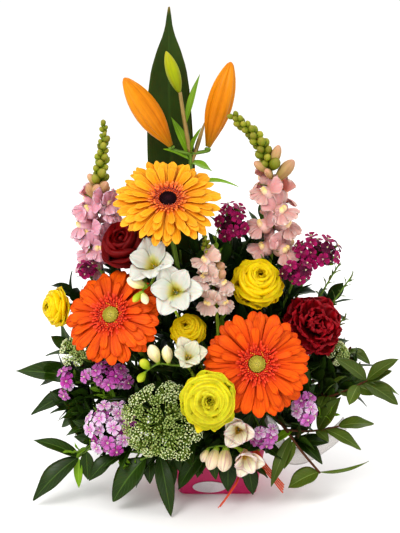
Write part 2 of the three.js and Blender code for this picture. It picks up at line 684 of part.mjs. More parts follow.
function lilyStem() {
  const name = "lily_stem";
  const line = lily.stem.map(seen);
  const { greenBud, buds, leaves } = lily;
  const stalks = Object.entries(buds).map(([budName, { from, to, wide }]) => {
    const [base, tip] = [seen(from), seen(to)];
    const body = bud(base, tip, wide, { sides: 6, rings: 5, belly: 0.45, ridges: 0.09 });
    add(budName, keep(name, body), hues.lily, 0.5);
    const back = base.clone().sub(tip).setLength(gap + 0.3).add(base);
    const low = back.clone().add(V(0, 0, -3));
    const fork = line[2].clone().lerp(line[1], 0.05);
    return solid(tube([fork, low, back], round(1.9), 3));
  });
  const top = bud(seen(greenBud.from), seen(greenBud.to), greenBud.wide);
  const blades = leaves.map((l) => leaf(name, l, [line]));
  plant(name, join([stalks, top, blades]), hues.stem, line, line[1].clone().sub(line[0]).normalize(), 2.2);
}

// ---------- foliage ----------
// Each spray: `stem` runs on from the foam, `forks` branch off it, and leaves grow from both.
const foliage = {
  tall_leaf: {
    stem: [[186, 318, 28], [180, 250, 32]],
    leaves: [
      {
        from: [184, 300, 29], to: [169, 5, 45], wide: 46, bow: -0.25,
        shape: outline.spear, fold: 0.3, rings: 7, up: V(0, -1, 0.1),
      },
    ],
  },
  foliage_left_top: {
    stem: [[104, 388, -6], [90, 383, -4], [70, 396, -4]],
    leaves: [
      { from: [92, 384, -4], to: [15, 371, -8], wide: 30 },
      { from: [82, 390, -4], to: [31, 415, -14], wide: 20 },
      { from: [70, 396, -4], to: [84, 443, -26], wide: 22 },
    ],
  },
  foliage_left_low: {
    stem: [[104, 436, -46], [91, 447, -54], [77, 458, -58]],
    leaves: [
      { from: [79, 456, -58], to: [33, 440, -52], wide: 16 },
      { from: [78, 457, -58], to: [33, 501, -72], wide: 24 },
      { from: [77, 458, -58], to: [79, 488, -66], wide: 9 },
      { from: [86, 451, -56], to: [88, 480, -62], wide: 14 },
    ],
  },
  foliage_front_left: {
    stem: [[176, 436, -58], [160, 452, -70], [140, 460, -74]],
    forks: [[[160, 452, -70], [128, 452, -66], [114, 455, -66]]],
    leaves: [
      { from: [115, 455, -66], to: [89, 481, -74], wide: 18 },
      { from: [146, 459, -74], to: [113, 502, -84], wide: 29 },
      { from: [160, 453, -70], to: [171, 517, -98], wide: 18 },
      { from: [168, 446, -64], to: [171, 494, -68], wide: 16 },
    ],
  },
  foliage_front_right: {
    stem: [[222, 436, -58], [226, 450, -66]],
    forks: [[[222, 436, -58], [206, 447, -68]], [[226, 450, -66], [248, 462, -66]]],
    leaves: [
      { from: [206, 448, -68], to: [178, 490, -78], wide: 20 },
      { from: [228, 451, -66], to: [228, 492, -78], wide: 19 },
      { from: [247, 462, -66], to: [253, 495, -72], wide: 16 },
    ],
  },
  foliage_right_top: {
    stem: [[318, 378, -12], [335, 364, -4], [351, 347, -2]],
    forks: [[[318, 378, -12], [324, 396, -36], [345, 391, -50], [368, 380, -58]]],
    leaves: [
      { from: [349, 349, -2], to: [370, 364, -10], wide: 14 },
      { from: [338, 364, -4], to: [308, 374, -14], wide: 13 },
      { from: [367, 380, -58], to: [399, 359, -62], wide: 17 },
      { from: [368, 380, -58], to: [399, 395, -50], wide: 10 },
      { from: [363, 382, -56], to: [398, 405, -72], wide: 21 },
      { from: [366, 380, -58], to: [335, 358, -46], wide: 17 },
      { from: [352, 373, -52], to: [349, 405, -62], wide: 14 },
      { from: [322, 393, -38], to: [318, 410, -56], wide: 11 },
    ],
  },
  foliage_right_low: {
    stem: [[286, 430, -56], [303, 453, -66], [320, 473, -66]],
    forks: [[[286, 430, -56], [312, 431, -52], [340, 426, -48]]],
    leaves: [
      { from: [319, 472, -62], to: [288, 488, -70], wide: 22 },
      { from: [320, 472, -62], to: [369, 461, -46], wide: 5, bow: -0.9 },
      { from: [324, 429, -49], to: [361, 450, -56], wide: 16 },
      { from: [340, 426, -48], to: [374, 424, -42], wide: 17 },
      { from: [318, 430, -49], to: [341, 397, -52], wide: 20 },
      { from: [316, 431, -50], to: [329, 442, -62], wide: 11 },
      { from: [292, 434, -54], to: [258, 451, -68], wide: 12 },
      { from: [292, 436, -55], to: [271, 487, -80], wide: 13 },
      { from: [296, 440, -57], to: [284, 469, -74], wide: 11 },
    ],
  },
};

// Filling leaves behind the flowers. Each row gives its share of the way up, its slope and its directions.
const filling = {
  foliage_inner_left: {
    stem: [[128, 335, -8], [120, 316, -8]], rows: [[0.95, 22, [-96, -70, -44]]], long: 58, wide: 25,
  },
  foliage_inner_right: {
    stem: [[236, 330, -4], [238, 306, -4]], rows: [[0.95, 20, [20, 60, 95]]], long: 56, wide: 24,
  },
  foliage_back_left: {
    stem: [[165, 350, 48], [160, 300, 54]],
    rows: [[0.95, 18, [-160, -118, 165]], [0.4, -6, [-150, -104, -66]]], long: 66, wide: 27,
  },
  foliage_back_right: {
    stem: [[250, 350, 50], [256, 305, 56]],
    rows: [[0.95, 18, [150, 104, -172]], [0.4, -6, [150, 108, 66]]], long: 66, wide: 27,
  },
};

function spray(name, { stem: points, forks = [] }, leaves) {
  const line = points.map(seen);
  const branches = forks.map((fork) => fork.map(seen));
  const twigs = branches.map((branch) => keep(name, solid(tube(branch, round(1.4), 3))));
  const grown = stem(name, line, line[1].clone().sub(line[0]).normalize(), 1.7);
  holes.push(grown.sleeve);
  keep(name, grown.body);
  const blades = leaves([grown.line, ...branches]);
  blades.forEach((b) => keep(name, b));
  add(name, join([grown.body, twigs, blades]), hues.leaf);
}

// The turns and lifts from its own direction that a filling leaf may take to be clear.
const nudges = [0, 12, -12, 24, -24, 36, -36].flatMap((turn) =>
  [0, 14, -14, 28, -28, 44].map((lift) => ({ turn, lift })),
);

function fillingLeaf(name, base, way, rise, long, wide) {
  const make = ({ turn, lift }, extra) => {
    const tip = base.clone().addScaledVector(aim(way + turn, rise + lift), long);
    const size = { width: wide + 2 * extra, thick: 1.4 + 2 * extra };
    return leafBetween(base, tip, { ...size, bow: 0.7, up: V(0, 0, 1) });
  };
  const nudge = nudges.find((n) => free(make(n, gap), name));
  if (!nudge) throw new Error(`${name} has no clear place for its leaf towards ${way}`);
  return make(nudge, 0);
}

function fill(name, { stem: points, rows, long, wide }) {
  const leaves = ([line]) =>
    rows.flatMap(([share, rise, ways], row) =>
      ways.map((way, i) => {
        const base = nearestOn([line], line[0].clone().lerp(line[line.length - 1], share - 0.05 * i));
        return fillingLeaf(name, base, way, rise, long * (1 + 0.12 * Math.sin(i * 2.6 + row)), wide);
      }),
    );
  spray(name, { stem: points }, leaves);
}

holder();
seal();
const block = foamBlock();
for (const [name, spec] of Object.entries(trims)) trim(name, spec);
for (const [name, spec] of Object.entries(gerberas)) gerbera(name, spec);
for (const [name, spec] of Object.entries(balls)) ball(name, spec);
for (const [name, spec] of Object.entries(clusters)) cluster(name, spec);
for (const [name, spec] of Object.entries(spires)) spire(name, spec);
for (const [name, spec] of Object.entries(freesias)) freesia(name, spec);
lilyStem();
growStems();
for (const [name, spec] of Object.entries(foliage)) {
  spray(name, spec, (lines) => spec.leaves.map((l) => leaf(name, l, lines)));
}
for (const [name, spec] of Object.entries(filling)) fill(name, spec);
add("floral_foam", block.subtract(join(holes)), hues.foam, 0.95);

export default group;
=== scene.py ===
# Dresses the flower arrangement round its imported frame: petals, leaves, stems, the card box and its trims.
# Lengths are in millimetres until a mesh is made. +Z is up and the front looks towards -Y.
from math import atan2, cos, degrees, hypot, log, pi, radians, sin, sqrt

import bpy
import numpy as np
from mathutils.kdtree import KDTree
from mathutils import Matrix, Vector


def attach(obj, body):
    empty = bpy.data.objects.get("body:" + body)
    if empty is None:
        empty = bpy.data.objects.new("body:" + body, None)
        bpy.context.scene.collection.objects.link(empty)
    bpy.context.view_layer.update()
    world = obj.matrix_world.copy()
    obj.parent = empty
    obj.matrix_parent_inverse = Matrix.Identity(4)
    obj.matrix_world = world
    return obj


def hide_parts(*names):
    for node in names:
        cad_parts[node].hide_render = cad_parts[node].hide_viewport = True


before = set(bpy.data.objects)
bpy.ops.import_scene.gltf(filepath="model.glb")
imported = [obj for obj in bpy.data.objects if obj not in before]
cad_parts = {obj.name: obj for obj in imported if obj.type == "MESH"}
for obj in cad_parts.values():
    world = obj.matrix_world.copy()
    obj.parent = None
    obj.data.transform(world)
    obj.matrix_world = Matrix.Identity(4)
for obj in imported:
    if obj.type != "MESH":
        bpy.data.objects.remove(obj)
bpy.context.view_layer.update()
tau = 2 * pi
golden = 2.4  # radians between one floret and the next
metre = 0.001
norm = np.linalg.norm

# The photograph's view: points are given as across, down (in a frame of 400 by 533) and depth Y.
view = {"across": 200, "down": 266.5, "reach": 1400, "rise": radians(14), "x": -18, "z": 227.6,
        "sensor": 36}
hub = np.array([0.0, 2.0, 14.0])  # the stems fan out from here
fan = {"foot": 46, "exit": 92, "lowest": 50}  # where a stem starts and leaves the fan, and its lowest slope


def vec(*xyz):
    return np.array(xyz, float)


def unit(v):
    return v / norm(v)


def seen(point):
    across, down, y = point
    a = (across - view["across"]) / view["reach"]
    b = (view["down"] - down) / view["reach"]
    c, s = cos(view["rise"]), sin(view["rise"])
    t = (y + view["reach"] * c) / (c + b * s)
    return vec(view["x"] + t * a, y, view["z"] + view["reach"] * s + t * (b * c - s))


def aim(turn, rise):
    t, r = radians(turn), radians(rise)
    return vec(sin(t) * cos(r), -cos(t) * cos(r), sin(r))


def frameOf(x, y, z, at):
    m = np.eye(4)
    m[:3, 0], m[:3, 1], m[:3, 2], m[:3, 3] = x, y, z, at
    return m


def spinZ(angle):
    c, s = cos(angle), sin(angle)
    return frameOf((c, s, 0), (-s, c, 0), (0, 0, 1), (0, 0, 0))


def spinX(angle):
    c, s = cos(angle), sin(angle)
    return frameOf((1, 0, 0), (0, c, s), (0, -s, c), (0, 0, 0))


def tipped(angle):  # lifts +X towards +Z
    c, s = cos(angle), sin(angle)
    return frameOf((c, 0, s), (0, 1, 0), (-s, 0, c), (0, 0, 0))


def moved(x, y, z):
    return frameOf((1, 0, 0), (0, 1, 0), (0, 0, 1), (x, y, z))


def pose(at, face, roll=0.0):
    z = unit(face)
    x = np.cross((0, 0, 1), z)
    x = vec(1, 0, 0) if norm(x) < 0.05 else unit(x)
    return frameOf(x, np.cross(z, x), z, at) @ spinZ(roll)


def reach(base, tip, up=(0, -0.45, 0.9), roll=0.0):
    x = unit(tip - base)
    z = unit(np.array(up, float) - x * np.dot(up, x))
    return frameOf(x, np.cross(z, x), z, base) @ spinX(roll)


def place(m, points):
    return np.asarray(points, float) @ m[:3, :3].T + m[:3, 3]


def turnTo(m, direction):
    return m[:3, :3] @ np.asarray(direction, float)


def diceFor(name):
    return np.random.default_rng(sum(i * ord(c) for i, c in enumerate(name, 1)))


# Half-width outlines of petals and leaves from base (0) to tip (1).
def leafOutline(s):
    return np.sin(np.pi * s ** 0.82) ** 0.9


def strapOutline(s):
    return np.minimum(1, 0.36 + 0.95 * s) * np.minimum(1, (1.02 - s) / 0.17) ** 0.5


def fanOutline(s):
    return np.minimum(1, 0.16 + 1.1 * s) * np.minimum(1, (1.08 - s) / 0.3) ** 0.5


def spearOutline(s):
    return np.minimum(1, 0.55 + 1.6 * s) * np.minimum(1, (1.02 - s) / 0.62) ** 0.8


def joined(parts):
    return np.concatenate([np.asarray(part, float) for part in parts])


# The marks on the rings of a tube or a turned piece: how far along, which way it faces, and its own pick.
def ringMarks(shape, steps, across, pick):
    marks = np.zeros(shape)
    marks[..., 0] = steps[:, None]
    marks[..., 1] = across[None, :]
    marks[..., 2] = pick
    return marks


class Heap:
    # Gathers closed skins and makes one mesh of them. A corner carries mark (along, across, pick) and side.
    def __init__(self):
        self.points, self.marks, self.sides = [], [], []
        self.quads, self.tris, self.slots = [], [], []
        self.size = 0

    def skin(self, rings, start, end, marks, side, slot=0):
        k, n = rings.shape[:2]
        index = self.size + np.arange(k * n).reshape(k, n)
        after = np.roll(index, -1, axis=1)
        quads = np.stack([index[:-1], index[1:], after[1:], after[:-1]], axis=-1).reshape(-1, 4)
        first, last = self.size + k * n, self.size + k * n + 1
        tris = [np.stack([index[0], after[0], np.full(n, first)], axis=-1)]
        tris.append(np.stack([after[-1], index[-1], np.full(n, last)], axis=-1))
        self.points += [rings.reshape(-1, 3), [start, end]]
        ends = [marks[0].mean(axis=0), marks[-1].mean(axis=0)]
        self.marks += [marks.reshape(-1, 3), ends]
        self.sides += [side.reshape(-1), [0, 0]]
        self.quads.append(quads)
        self.tris.append(np.concatenate(tris))
        self.slots.append((len(quads), 2 * n, slot))
        self.size += k * n + 2

    # A thin closed skin round a grid of points (along, across), thickest in the middle.
    def sheet(self, grid, along, across, thick, pick, slot=0):
        n, m = grid.shape[:2]
        normal = np.cross(np.gradient(grid, axis=0), np.gradient(grid, axis=1))
        normal /= np.maximum(norm(normal, axis=2, keepdims=True), 1e-9)
        depth = (0.5 * thick * np.sqrt(np.clip(1.02 - across ** 2, 0, 1)))[..., None]
        depth[:, 0] = depth[:, -1] = 0
        top = grid + normal * depth
        low = (grid - normal * depth)[:, -2:0:-1]
        rings = np.concatenate([top, low], axis=1)
        marks = np.stack([along, across, np.full(along.shape, pick)], axis=-1)
        marks = np.concatenate([marks, marks[:, -2:0:-1]], axis=1)
        side = np.ones(rings.shape[:2])
        side[:, m:] = -1
        self.skin(rings, grid[0].mean(axis=0), grid[-1].mean(axis=0), marks, side, slot)

    def tube(self, line, radius, sides=8, slot=0, pick=0.5):
        line = np.asarray(line, float)
        steps = np.linspace(0, 1, len(line))
        radii = radius(steps) if callable(radius) else np.full(len(line), radius)
        ahead = np.gradient(line, axis=0)
        ahead /= norm(ahead, axis=1, keepdims=True)
        rings = []
        last = vec(0.3, 0.2, 0.9)
        angles = -np.arange(sides) / sides * tau
        for point, t, r in zip(line, ahead, radii):
            last = unit(last - t * np.dot(last, t))
            other = np.cross(t, last)
            rings.append(point + r * (np.cos(angles)[:, None] * last + np.sin(angles)[:, None] * other))
        rings = np.array(rings)
        marks = ringMarks(rings.shape, steps, np.cos(angles), pick)
        self.skin(rings, line[0], line[-1], marks, np.ones(rings.shape[:2]), slot)

    # A closed skin turned round local Z (or drawn along it), from the first to the last [radius, height].
    def turn(self, profile, matrix, sides=16, slot=0, pick=0.5, ridge=None):
        profile = np.asarray(profile, float)
        angles = np.arange(sides) / sides * tau
        radii = np.repeat(profile[:, :1], sides, axis=1)
        if ridge:
            radii = radii * ridge(np.linspace(0, 1, len(profile))[:, None], angles[None, :])
        rings = np.stack([radii * np.cos(angles), radii * np.sin(angles),
                          np.repeat(profile[:, 1:2], sides, axis=1)], axis=-1)[:, ::-1]
        marks = ringMarks(rings.shape, np.linspace(0, 1, len(profile)), np.cos(angles[::-1]), pick)
        start, end = place(matrix, [[0, 0, profile[0, 1]], [0, 0, profile[-1, 1]]])
        self.skin(place(matrix, rings), start, end, marks, np.ones(rings.shape[:2]), slot)

    def build(self, name, finishes):
        mesh = bpy.data.meshes.new(name)
        faces = []
        owners = []
        for quads, tris, (quadCount, triCount, slot) in zip(self.quads, self.tris, self.slots):
            faces += quads.tolist() + tris.tolist()
            owners += [slot] * (quadCount + triCount)
        points = joined(self.points) * metre
        mesh.from_pydata(points.tolist(), [], faces)
        for finish in finishes:
            mesh.materials.append(finish)
        mesh.polygons.foreach_set("material_index", owners)
        mesh.shade_smooth()
        mark = mesh.attributes.new("mark", "FLOAT_VECTOR", "POINT")
        mark.data.foreach_set("vector", joined(self.marks).ravel())
        mesh.attributes.new("side", "FLOAT", "POINT").data.foreach_set("value", joined(self.sides))
        piece = bpy.data.objects.new(name, mesh)
        bpy.context.scene.collection.objects.link(piece)
        return piece


faceTotal = 0


def standFor(heap, node, finishes):
    global faceTotal
    piece = heap.build(node + "_fine", finishes)
    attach(piece, "root")
    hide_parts(node)
    faceTotal += len(piece.data.polygons)
    return piece


def arc(length, pitch, bend, s):
    end = pitch + bend * s
    if abs(bend) < 1e-4:
        return length * s * np.cos(end), length * s * np.sin(end), end
    r = length / bend
    return r * (np.sin(end) - sin(pitch)), -r * (np.cos(end) - cos(pitch)), end


# A petal or leaf that grows from the matrix's origin along X with its face up Z.
def blade(heap, matrix, length, width, outline=leafOutline, pitch=0.0, bend=0.0, fold=0.0, thick=0.5,
          rows=10, columns=6, wave=0.0, waves=2.5, ruffle=0.0, twist=0.0, sway=0.0, cut=0.0, jags=0,
          jag=0.0, crease=0.0, ridges=0, ridge=0.0, belly=0.0, pick=0.5, slot=0):
    u = np.linspace(0, 1, rows + 1)
    s = np.clip(0.5 - 0.5 * np.cos(np.pi * u ** 0.9), 0.004, 0.994)
    s, v = np.meshgrid(s, np.linspace(-1, 1, columns + 1), indexing="ij")
    end = 1 - cut * v ** 2
    if jags:
        end = end - jag * np.abs(((v * jags / 2 + 0.5 * pick) % 1) - 0.5) * 2
    y = v * width / 2 * outline(s)
    at = s * (1 + (end - 1) * s ** 2)
    x, z, angle = arc(length, pitch, bend, at)
    lift = fold * y ** 2 * 2 / width + crease * np.abs(y)
    lift = lift + ridge * np.cos(v * ridges * np.pi) * (1 - v ** 2)
    lift = lift + wave * np.sin(waves * tau * s + 9 * pick + 1.2 * np.sign(v)) * np.abs(v) ** 1.5
    lift = lift + ruffle * s ** 2 * np.sin(v * 2.2 * np.pi + 12 * pick)
    turn = twist * s
    y, lift = y * np.cos(turn) - lift * np.sin(turn), y * np.sin(turn) + lift * np.cos(turn)
    y = y + sway * length * s ** 2 + belly * np.sin(np.pi * s)
    grid = np.stack([x - lift * np.sin(angle), y, z + lift * np.cos(angle)], axis=-1)
    heap.sheet(place(matrix, grid), s, v, thick, pick, slot)


def bezier(controls, s):
    a, b, c, d = [np.asarray(p, float) for p in controls]
    s = np.asarray(s, float)[..., None]
    return a * (1 - s) ** 3 + 3 * b * s * (1 - s) ** 2 + 3 * c * s ** 2 * (1 - s) + d * s ** 3


# A petal of a cup round local Z: the profile's four points [radius, height] run from its root to its lip.
def cupPetal(heap, matrix, profile, spin, half, cut, tuck, wave, waves, pick):
    s, v = np.meshgrid(np.linspace(0, 1, 13), np.linspace(-1, 1, 17), indexing="ij")
    end = 1 - cut * np.abs(v) ** 3
    rz = bezier(profile, s * (1 + (end - 1) * s))
    angle = spin + half * v * np.minimum(1, 0.35 + 1.5 * s)
    radius = rz[..., 0] + tuck * v * s + wave * s ** 3 * np.sin(waves * np.pi * v + 11 * pick)
    height = rz[..., 1] + 0.6 * wave * s ** 3 * np.cos(waves * np.pi * v * 1.3 + 7 * pick)
    grid = np.stack([radius * np.cos(angle), radius * np.sin(angle), height], axis=-1)
    # the cup's outer face is the petal's back
    heap.sheet(place(matrix, grid)[:, ::-1], s, v, 0.5, pick)


# A plump closed bud from base to tip.
def bud(heap, base, tip, wide, sides=12, rings=10, belly=0.5, ridges=0, depth=0.0, slot=0, pick=0.5,
        point=0.8, outline=None):
    s = 0.5 - 0.5 * np.cos(np.pi * np.linspace(0.04, 0.985, rings))
    r = wide / 2 * (outline(s) if outline else np.sin(np.pi * s ** (log(0.5) / log(belly))) ** point)
    long = norm(tip - base)
    grooves = (lambda share, a: 1 - depth * np.abs(np.cos(ridges * a / 2)) ** 6) if ridges else None
    lie = reach(base, tip) @ frameOf((0, 1, 0), (0, 0, 1), (1, 0, 0), (0, 0, 0))  # local Z runs to the tip
    heap.turn(np.stack([r, s * long], axis=-1), lie, sides, slot, pick, grooves)


def smoothLine(points, steps=6):
    p = [np.asarray(q, float) for q in points]
    p = [2 * p[0] - p[1], *p, 2 * p[-1] - p[-2]]
    out = []
    for a, b, c, d in zip(p, p[1:], p[2:], p[3:]):
        for t in np.linspace(0, 1, steps, endpoint=False):
            out.append(0.5 * (2 * b + (c - a) * t + (2 * a - 5 * b + 4 * c - d) * t ** 2
                              + (3 * b - a - 3 * c + d) * t ** 3))
    return np.array(out + [p[-2]])


# The frame's own corners say which of its possible ways a stem or a leaf took.
cornerTrees = {}


def gapTo(node, point):
    if node not in cornerTrees:
        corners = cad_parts[node].data.vertices
        tree = KDTree(len(corners))
        for i, corner in enumerate(corners):
            tree.insert(corner.co / metre, i)
        tree.balance()
        cornerTrees[node] = tree
    return cornerTrees[node].find(point)[2]


def route(points, face, turn, rise, bow):
    at, *rest = points
    away = at - hub
    level = degrees(atan2(away[0], -away[1])) + turn
    slope = degrees(atan2(away[2], hypot(away[0], away[1])))
    out = aim(level, min(max(slope, fan["lowest"]) + rise, 88))
    foot, leave = hub + out * fan["foot"], hub + out * fan["exit"]
    span = norm(leave - at)
    controls = [leave, leave + out * span * 0.35, at - face * bow * span, at]
    count = 4 if span > 90 else 3
    coarse = [foot, *bezier(controls, np.linspace(0, 1, count + 1)), *rest]
    fine = [foot, foot + (leave - foot) * 0.5, *bezier(controls, np.linspace(0, 1, 17))]
    return coarse, fine


def stemWay(node, points, face, radius):
    best = None
    for turn in (0, 7, -7, 14, -14, 22, -22, 32, -32, 44, -44):
        for rise in (0, 8, 18, 30):
            for bow in (0.25, 0.12, 0.4):
                coarse, fine = route(points, face, turn, rise, bow)
                miss = gapTo(node, coarse[0]) + sum(abs(gapTo(node, p) - radius) for p in coarse[2:4])
                if best is None or miss < best[0] - 1e-4:
                    best = (miss, coarse, fine)
    if best[0] > 0.5:
        print("stem of", node, "is only matched to", round(best[0], 2), "mm")
    miss, coarse, fine = best
    rest = [np.asarray(p, float) for p in points]
    if len(rest) > 1:
        fine = [*fine[:-1], *smoothLine(rest)]
    return coarse, np.array(fine)


def nearestOn(lines, p):
    best = None
    for line in lines:
        for a, b in zip(line, line[1:]):
            along = b - a
            share = min(max(float(np.dot(p - a, along) / np.dot(along, along)), 0.06), 0.94)
            q = a + along * share
            if best is None or norm(q - p) < norm(best - p):
                best = q
    return best


def bowed(base, tip, bow):
    return norm(tip - base) * (bow / 2) / sin(bow / 2)


def leafWay(node, spec, lines):
    base = nearestOn(lines, seen(spec["from"]))
    bow, up = spec.get("bow", 0.5), spec.get("up", (0, -0.45, 0.9))
    best = None
    for roll in (0, 18, -18, 36, -36, 54, -54):
        for shift in (0, 7, -7, 14, -14):
            tip = seen((spec["to"][0], spec["to"][1], spec["to"][2] + shift))
            miss = gapTo(node, tip)
            if miss > 0.5:
                continue
            lie = reach(base, tip, up, radians(roll))
            miss += leafEdgeGap(node, lie, bowed(base, tip, bow), bow, spec)
            if best is None or miss < best[0] - 1e-4:
                best = (miss, lie, bowed(base, tip, bow))
    if best is None or best[0] > 1.5:
        print("leaf of", node, spec["to"], "has no match:", best and round(best[0], 2))
    return best[1:] if best else None


def leafEdgeGap(node, lie, length, bow, spec):
    rings = spec.get("rings", 4)
    s = 0.5 - 0.5 * cos(pi * (rings // 2) / rings)
    outline = spec.get("solidOutline", lambda q: sin(pi * q ** 0.85) ** 0.85)
    y = spec["wide"] / 2 * outline(s)
    x, z, angle = arc(length, bow / 2, -bow, s)
    lift = spec.get("fold", 0.25) * y * y * 2 / spec["wide"]
    edges = place(lie, [[x - lift * sin(angle), side * y, z + lift * cos(angle)] for side in (1, -1)])
    return sum(gapTo(node, p) for p in edges)


def hue(code):
    channels = [int(code[i:i + 2], 16) / 255 for i in (0, 2, 4)]
    return (*[c / 12.92 if c <= 0.04045 else ((c + 0.055) / 1.055) ** 2.4 for c in channels], 1)


def plug(tree, socket, value):
    if isinstance(value, bpy.types.NodeSocket):
        tree.links.new(value, socket)
    else:
        socket.default_value = hue(value) if isinstance(value, str) else value


def node(tree, kind, settings=None, *values, **inputs):
    made = tree.nodes.new("ShaderNode" + kind)
    for key, value in (settings or {}).items():
        setattr(made, key, value)
    for i, value in enumerate(values):
        plug(tree, made.inputs[i], value)
    for key, value in inputs.items():
        plug(tree, made.inputs[key], value)
    return made


def calc(tree, operation, *values):
    return node(tree, "Math", {"operation": operation}, *values).outputs[0]


def mixHue(tree, share, a, b):
    made = node(tree, "Mix", {"data_type": "RGBA"}, share)
    plug(tree, made.inputs[6], a)
    plug(tree, made.inputs[7], b)
    return made.outputs[2]


def ramp(tree, share, stops):  # stops are a line of places and hex colours
    made = node(tree, "ValToRGB", None, share)
    band = made.color_ramp
    stops = [stop.split() for stop in stops.split(", ")]
    while len(band.elements) < len(stops):
        band.elements.new(0.5)
    for element, (at, code) in zip(band.elements, stops):
        element.position = float(at)
        element.color = hue(code)
    return made.outputs[0]


def step(tree, value, low, high):
    made = node(tree, "MapRange", {"interpolation_type": "SMOOTHSTEP"}, value, low, high)
    return made.outputs[0]


def newFinish(name, **shaderValues):
    material = bpy.data.materials.new(name)
    material.use_nodes = True
    tree = material.node_tree
    shader = tree.nodes["Principled BSDF"]
    for key, value in shaderValues.items():
        shader.inputs[key.replace("_", " ")].default_value = value
    return material, tree, shader


def readMarks(tree):
    mark = node(tree, "Attribute", {"attribute_name": "mark"}).outputs["Vector"]
    along, across, pick = node(tree, "SeparateXYZ", None, mark).outputs
    side = node(tree, "Attribute", {"attribute_name": "side"}).outputs["Fac"]
    return along, across, pick, side


# A petal's colour runs along it through the stops, with fine streaks, a tinted edge and a paler back.
def petalFinish(name, stops, streak, streakAmount=0.35, streaks=7.0, edge=None, edgeAmount=0.5, back=None,
                backAmount=0.5, roughness=0.48, relief=0.25, sheen=0.0, soft=0.12, vary=0.16,
                edgeStart=0.62, gloss=0.16):
    material, tree, shader = newFinish(name, Roughness=roughness, Sheen_Weight=sheen, Sheen_Roughness=0.4,
                                       Subsurface_Weight=soft, Subsurface_Scale=0.004,
                                       Specular_IOR_Level=gloss)
    along, across, pick, side = readMarks(tree)
    grain = node(tree, "CombineXYZ", None, calc(tree, "MULTIPLY", across, streaks),
                 calc(tree, "MULTIPLY", along, 0.9), calc(tree, "MULTIPLY", pick, 31.0)).outputs[0]
    lines = node(tree, "TexNoise", None, Vector=grain, Scale=1.0, Detail=4.0, Roughness=0.6).outputs[0]
    where = node(tree, "TexCoord").outputs["Object"]
    cloud = node(tree, "TexNoise", None, Vector=where, Scale=120.0, Detail=3.0).outputs[0]
    wobble = calc(tree, "MULTIPLY_ADD", calc(tree, "SUBTRACT", lines, 0.5), 0.22, along)
    colour = ramp(tree, wobble, stops)
    streaky = calc(tree, "MULTIPLY", step(tree, lines, 0.46, 0.66), streakAmount)
    colour = mixHue(tree, streaky, colour, streak)
    if edge:
        aside = calc(tree, "ADD", calc(tree, "ABSOLUTE", across), calc(tree, "MULTIPLY", lines, 0.2))
        rim = step(tree, aside, edgeStart, 1.15)
        lip = step(tree, wobble, 0.8, 1.0)
        rim = calc(tree, "MULTIPLY", calc(tree, "MAXIMUM", rim, lip), edgeAmount)
        colour = mixHue(tree, rim, colour, edge)
    if back:
        under = calc(tree, "MULTIPLY", step(tree, side, 0.2, -0.2), backAmount)
        colour = mixHue(tree, under, colour, back)
    light = calc(tree, "MULTIPLY_ADD", pick, vary, 1 - vary / 2)
    light = calc(tree, "MULTIPLY", light, calc(tree, "MULTIPLY_ADD", cloud, 0.24, 0.88))
    tone = node(tree, "HueSaturation", None, Value=light, Color=colour)
    plug(tree, shader.inputs["Base Color"], tone.outputs[0])
    plug(tree, shader.inputs["Roughness"], calc(tree, "MULTIPLY_ADD", lines, 0.2, roughness - 0.1))
    height = calc(tree, "ADD", lines, calc(tree, "MULTIPLY", cloud, 0.4))
    bump = node(tree, "Bump", None, Strength=relief, Distance=0.0006, Height=height)
    plug(tree, shader.inputs["Normal"], bump.outputs[0])
    return material


# Leaves: a pale midrib, side veins in relief, a waxy top and a paler back.
def leafFinish(name, deep, light, rib, back, veins=9.0, roughness=0.34, relief=0.5, straight=0.0, tip=None,
               coat=0.25):
    material, tree, shader = newFinish(name, Coat_Weight=coat, Coat_Roughness=0.25, Subsurface_Weight=0.04,
                                       Subsurface_Scale=0.003, Specular_IOR_Level=0.22)
    along, across, pick, side = readMarks(tree)
    away = calc(tree, "ABSOLUTE", across)
    where = node(tree, "TexCoord").outputs["Object"]
    cloud = node(tree, "TexNoise", None, Vector=where, Scale=55.0, Detail=4.0).outputs[0]
    fine = node(tree, "TexNoise", None, Vector=where, Scale=700.0, Detail=2.0).outputs[0]
    slanted = calc(tree, "SUBTRACT", along, calc(tree, "MULTIPLY", away, 0.264))
    run = calc(tree, "MULTIPLY", slanted, veins)
    if straight:
        run = calc(tree, "MULTIPLY", across, straight)
    wave = calc(tree, "ABSOLUTE", calc(tree, "SINE", calc(tree, "MULTIPLY", run, pi)))
    vein = step(tree, wave, 0.2, 0.02)
    midrib = step(tree, away, 0.09, 0.02)
    colour = mixHue(tree, cloud, deep, light)
    colour = mixHue(tree, calc(tree, "MULTIPLY", vein, 0.22), colour, rib)
    colour = mixHue(tree, calc(tree, "MULTIPLY", midrib, 0.45), colour, rib)
    colour = mixHue(tree, calc(tree, "MULTIPLY", step(tree, side, 0.2, -0.2), 0.75), colour, back)
    if tip:
        colour = mixHue(tree, step(tree, along, 0.965, 1.0), colour, tip)
    value = calc(tree, "MULTIPLY_ADD", pick, 0.5, 0.75)
    tone = node(tree, "HueSaturation", None, Value=value, Color=colour)
    plug(tree, shader.inputs["Base Color"], tone.outputs[0])
    plug(tree, shader.inputs["Roughness"], calc(tree, "MULTIPLY_ADD", cloud, 0.2, roughness - 0.08))
    height = calc(tree, "ADD", calc(tree, "MULTIPLY", calc(tree, "MAXIMUM", vein, midrib), -1.0),
                  calc(tree, "MULTIPLY", fine, 0.25))
    bump = node(tree, "Bump", None, Strength=relief, Distance=0.0005, Height=height)
    plug(tree, shader.inputs["Normal"], bump.outputs[0])
    return material


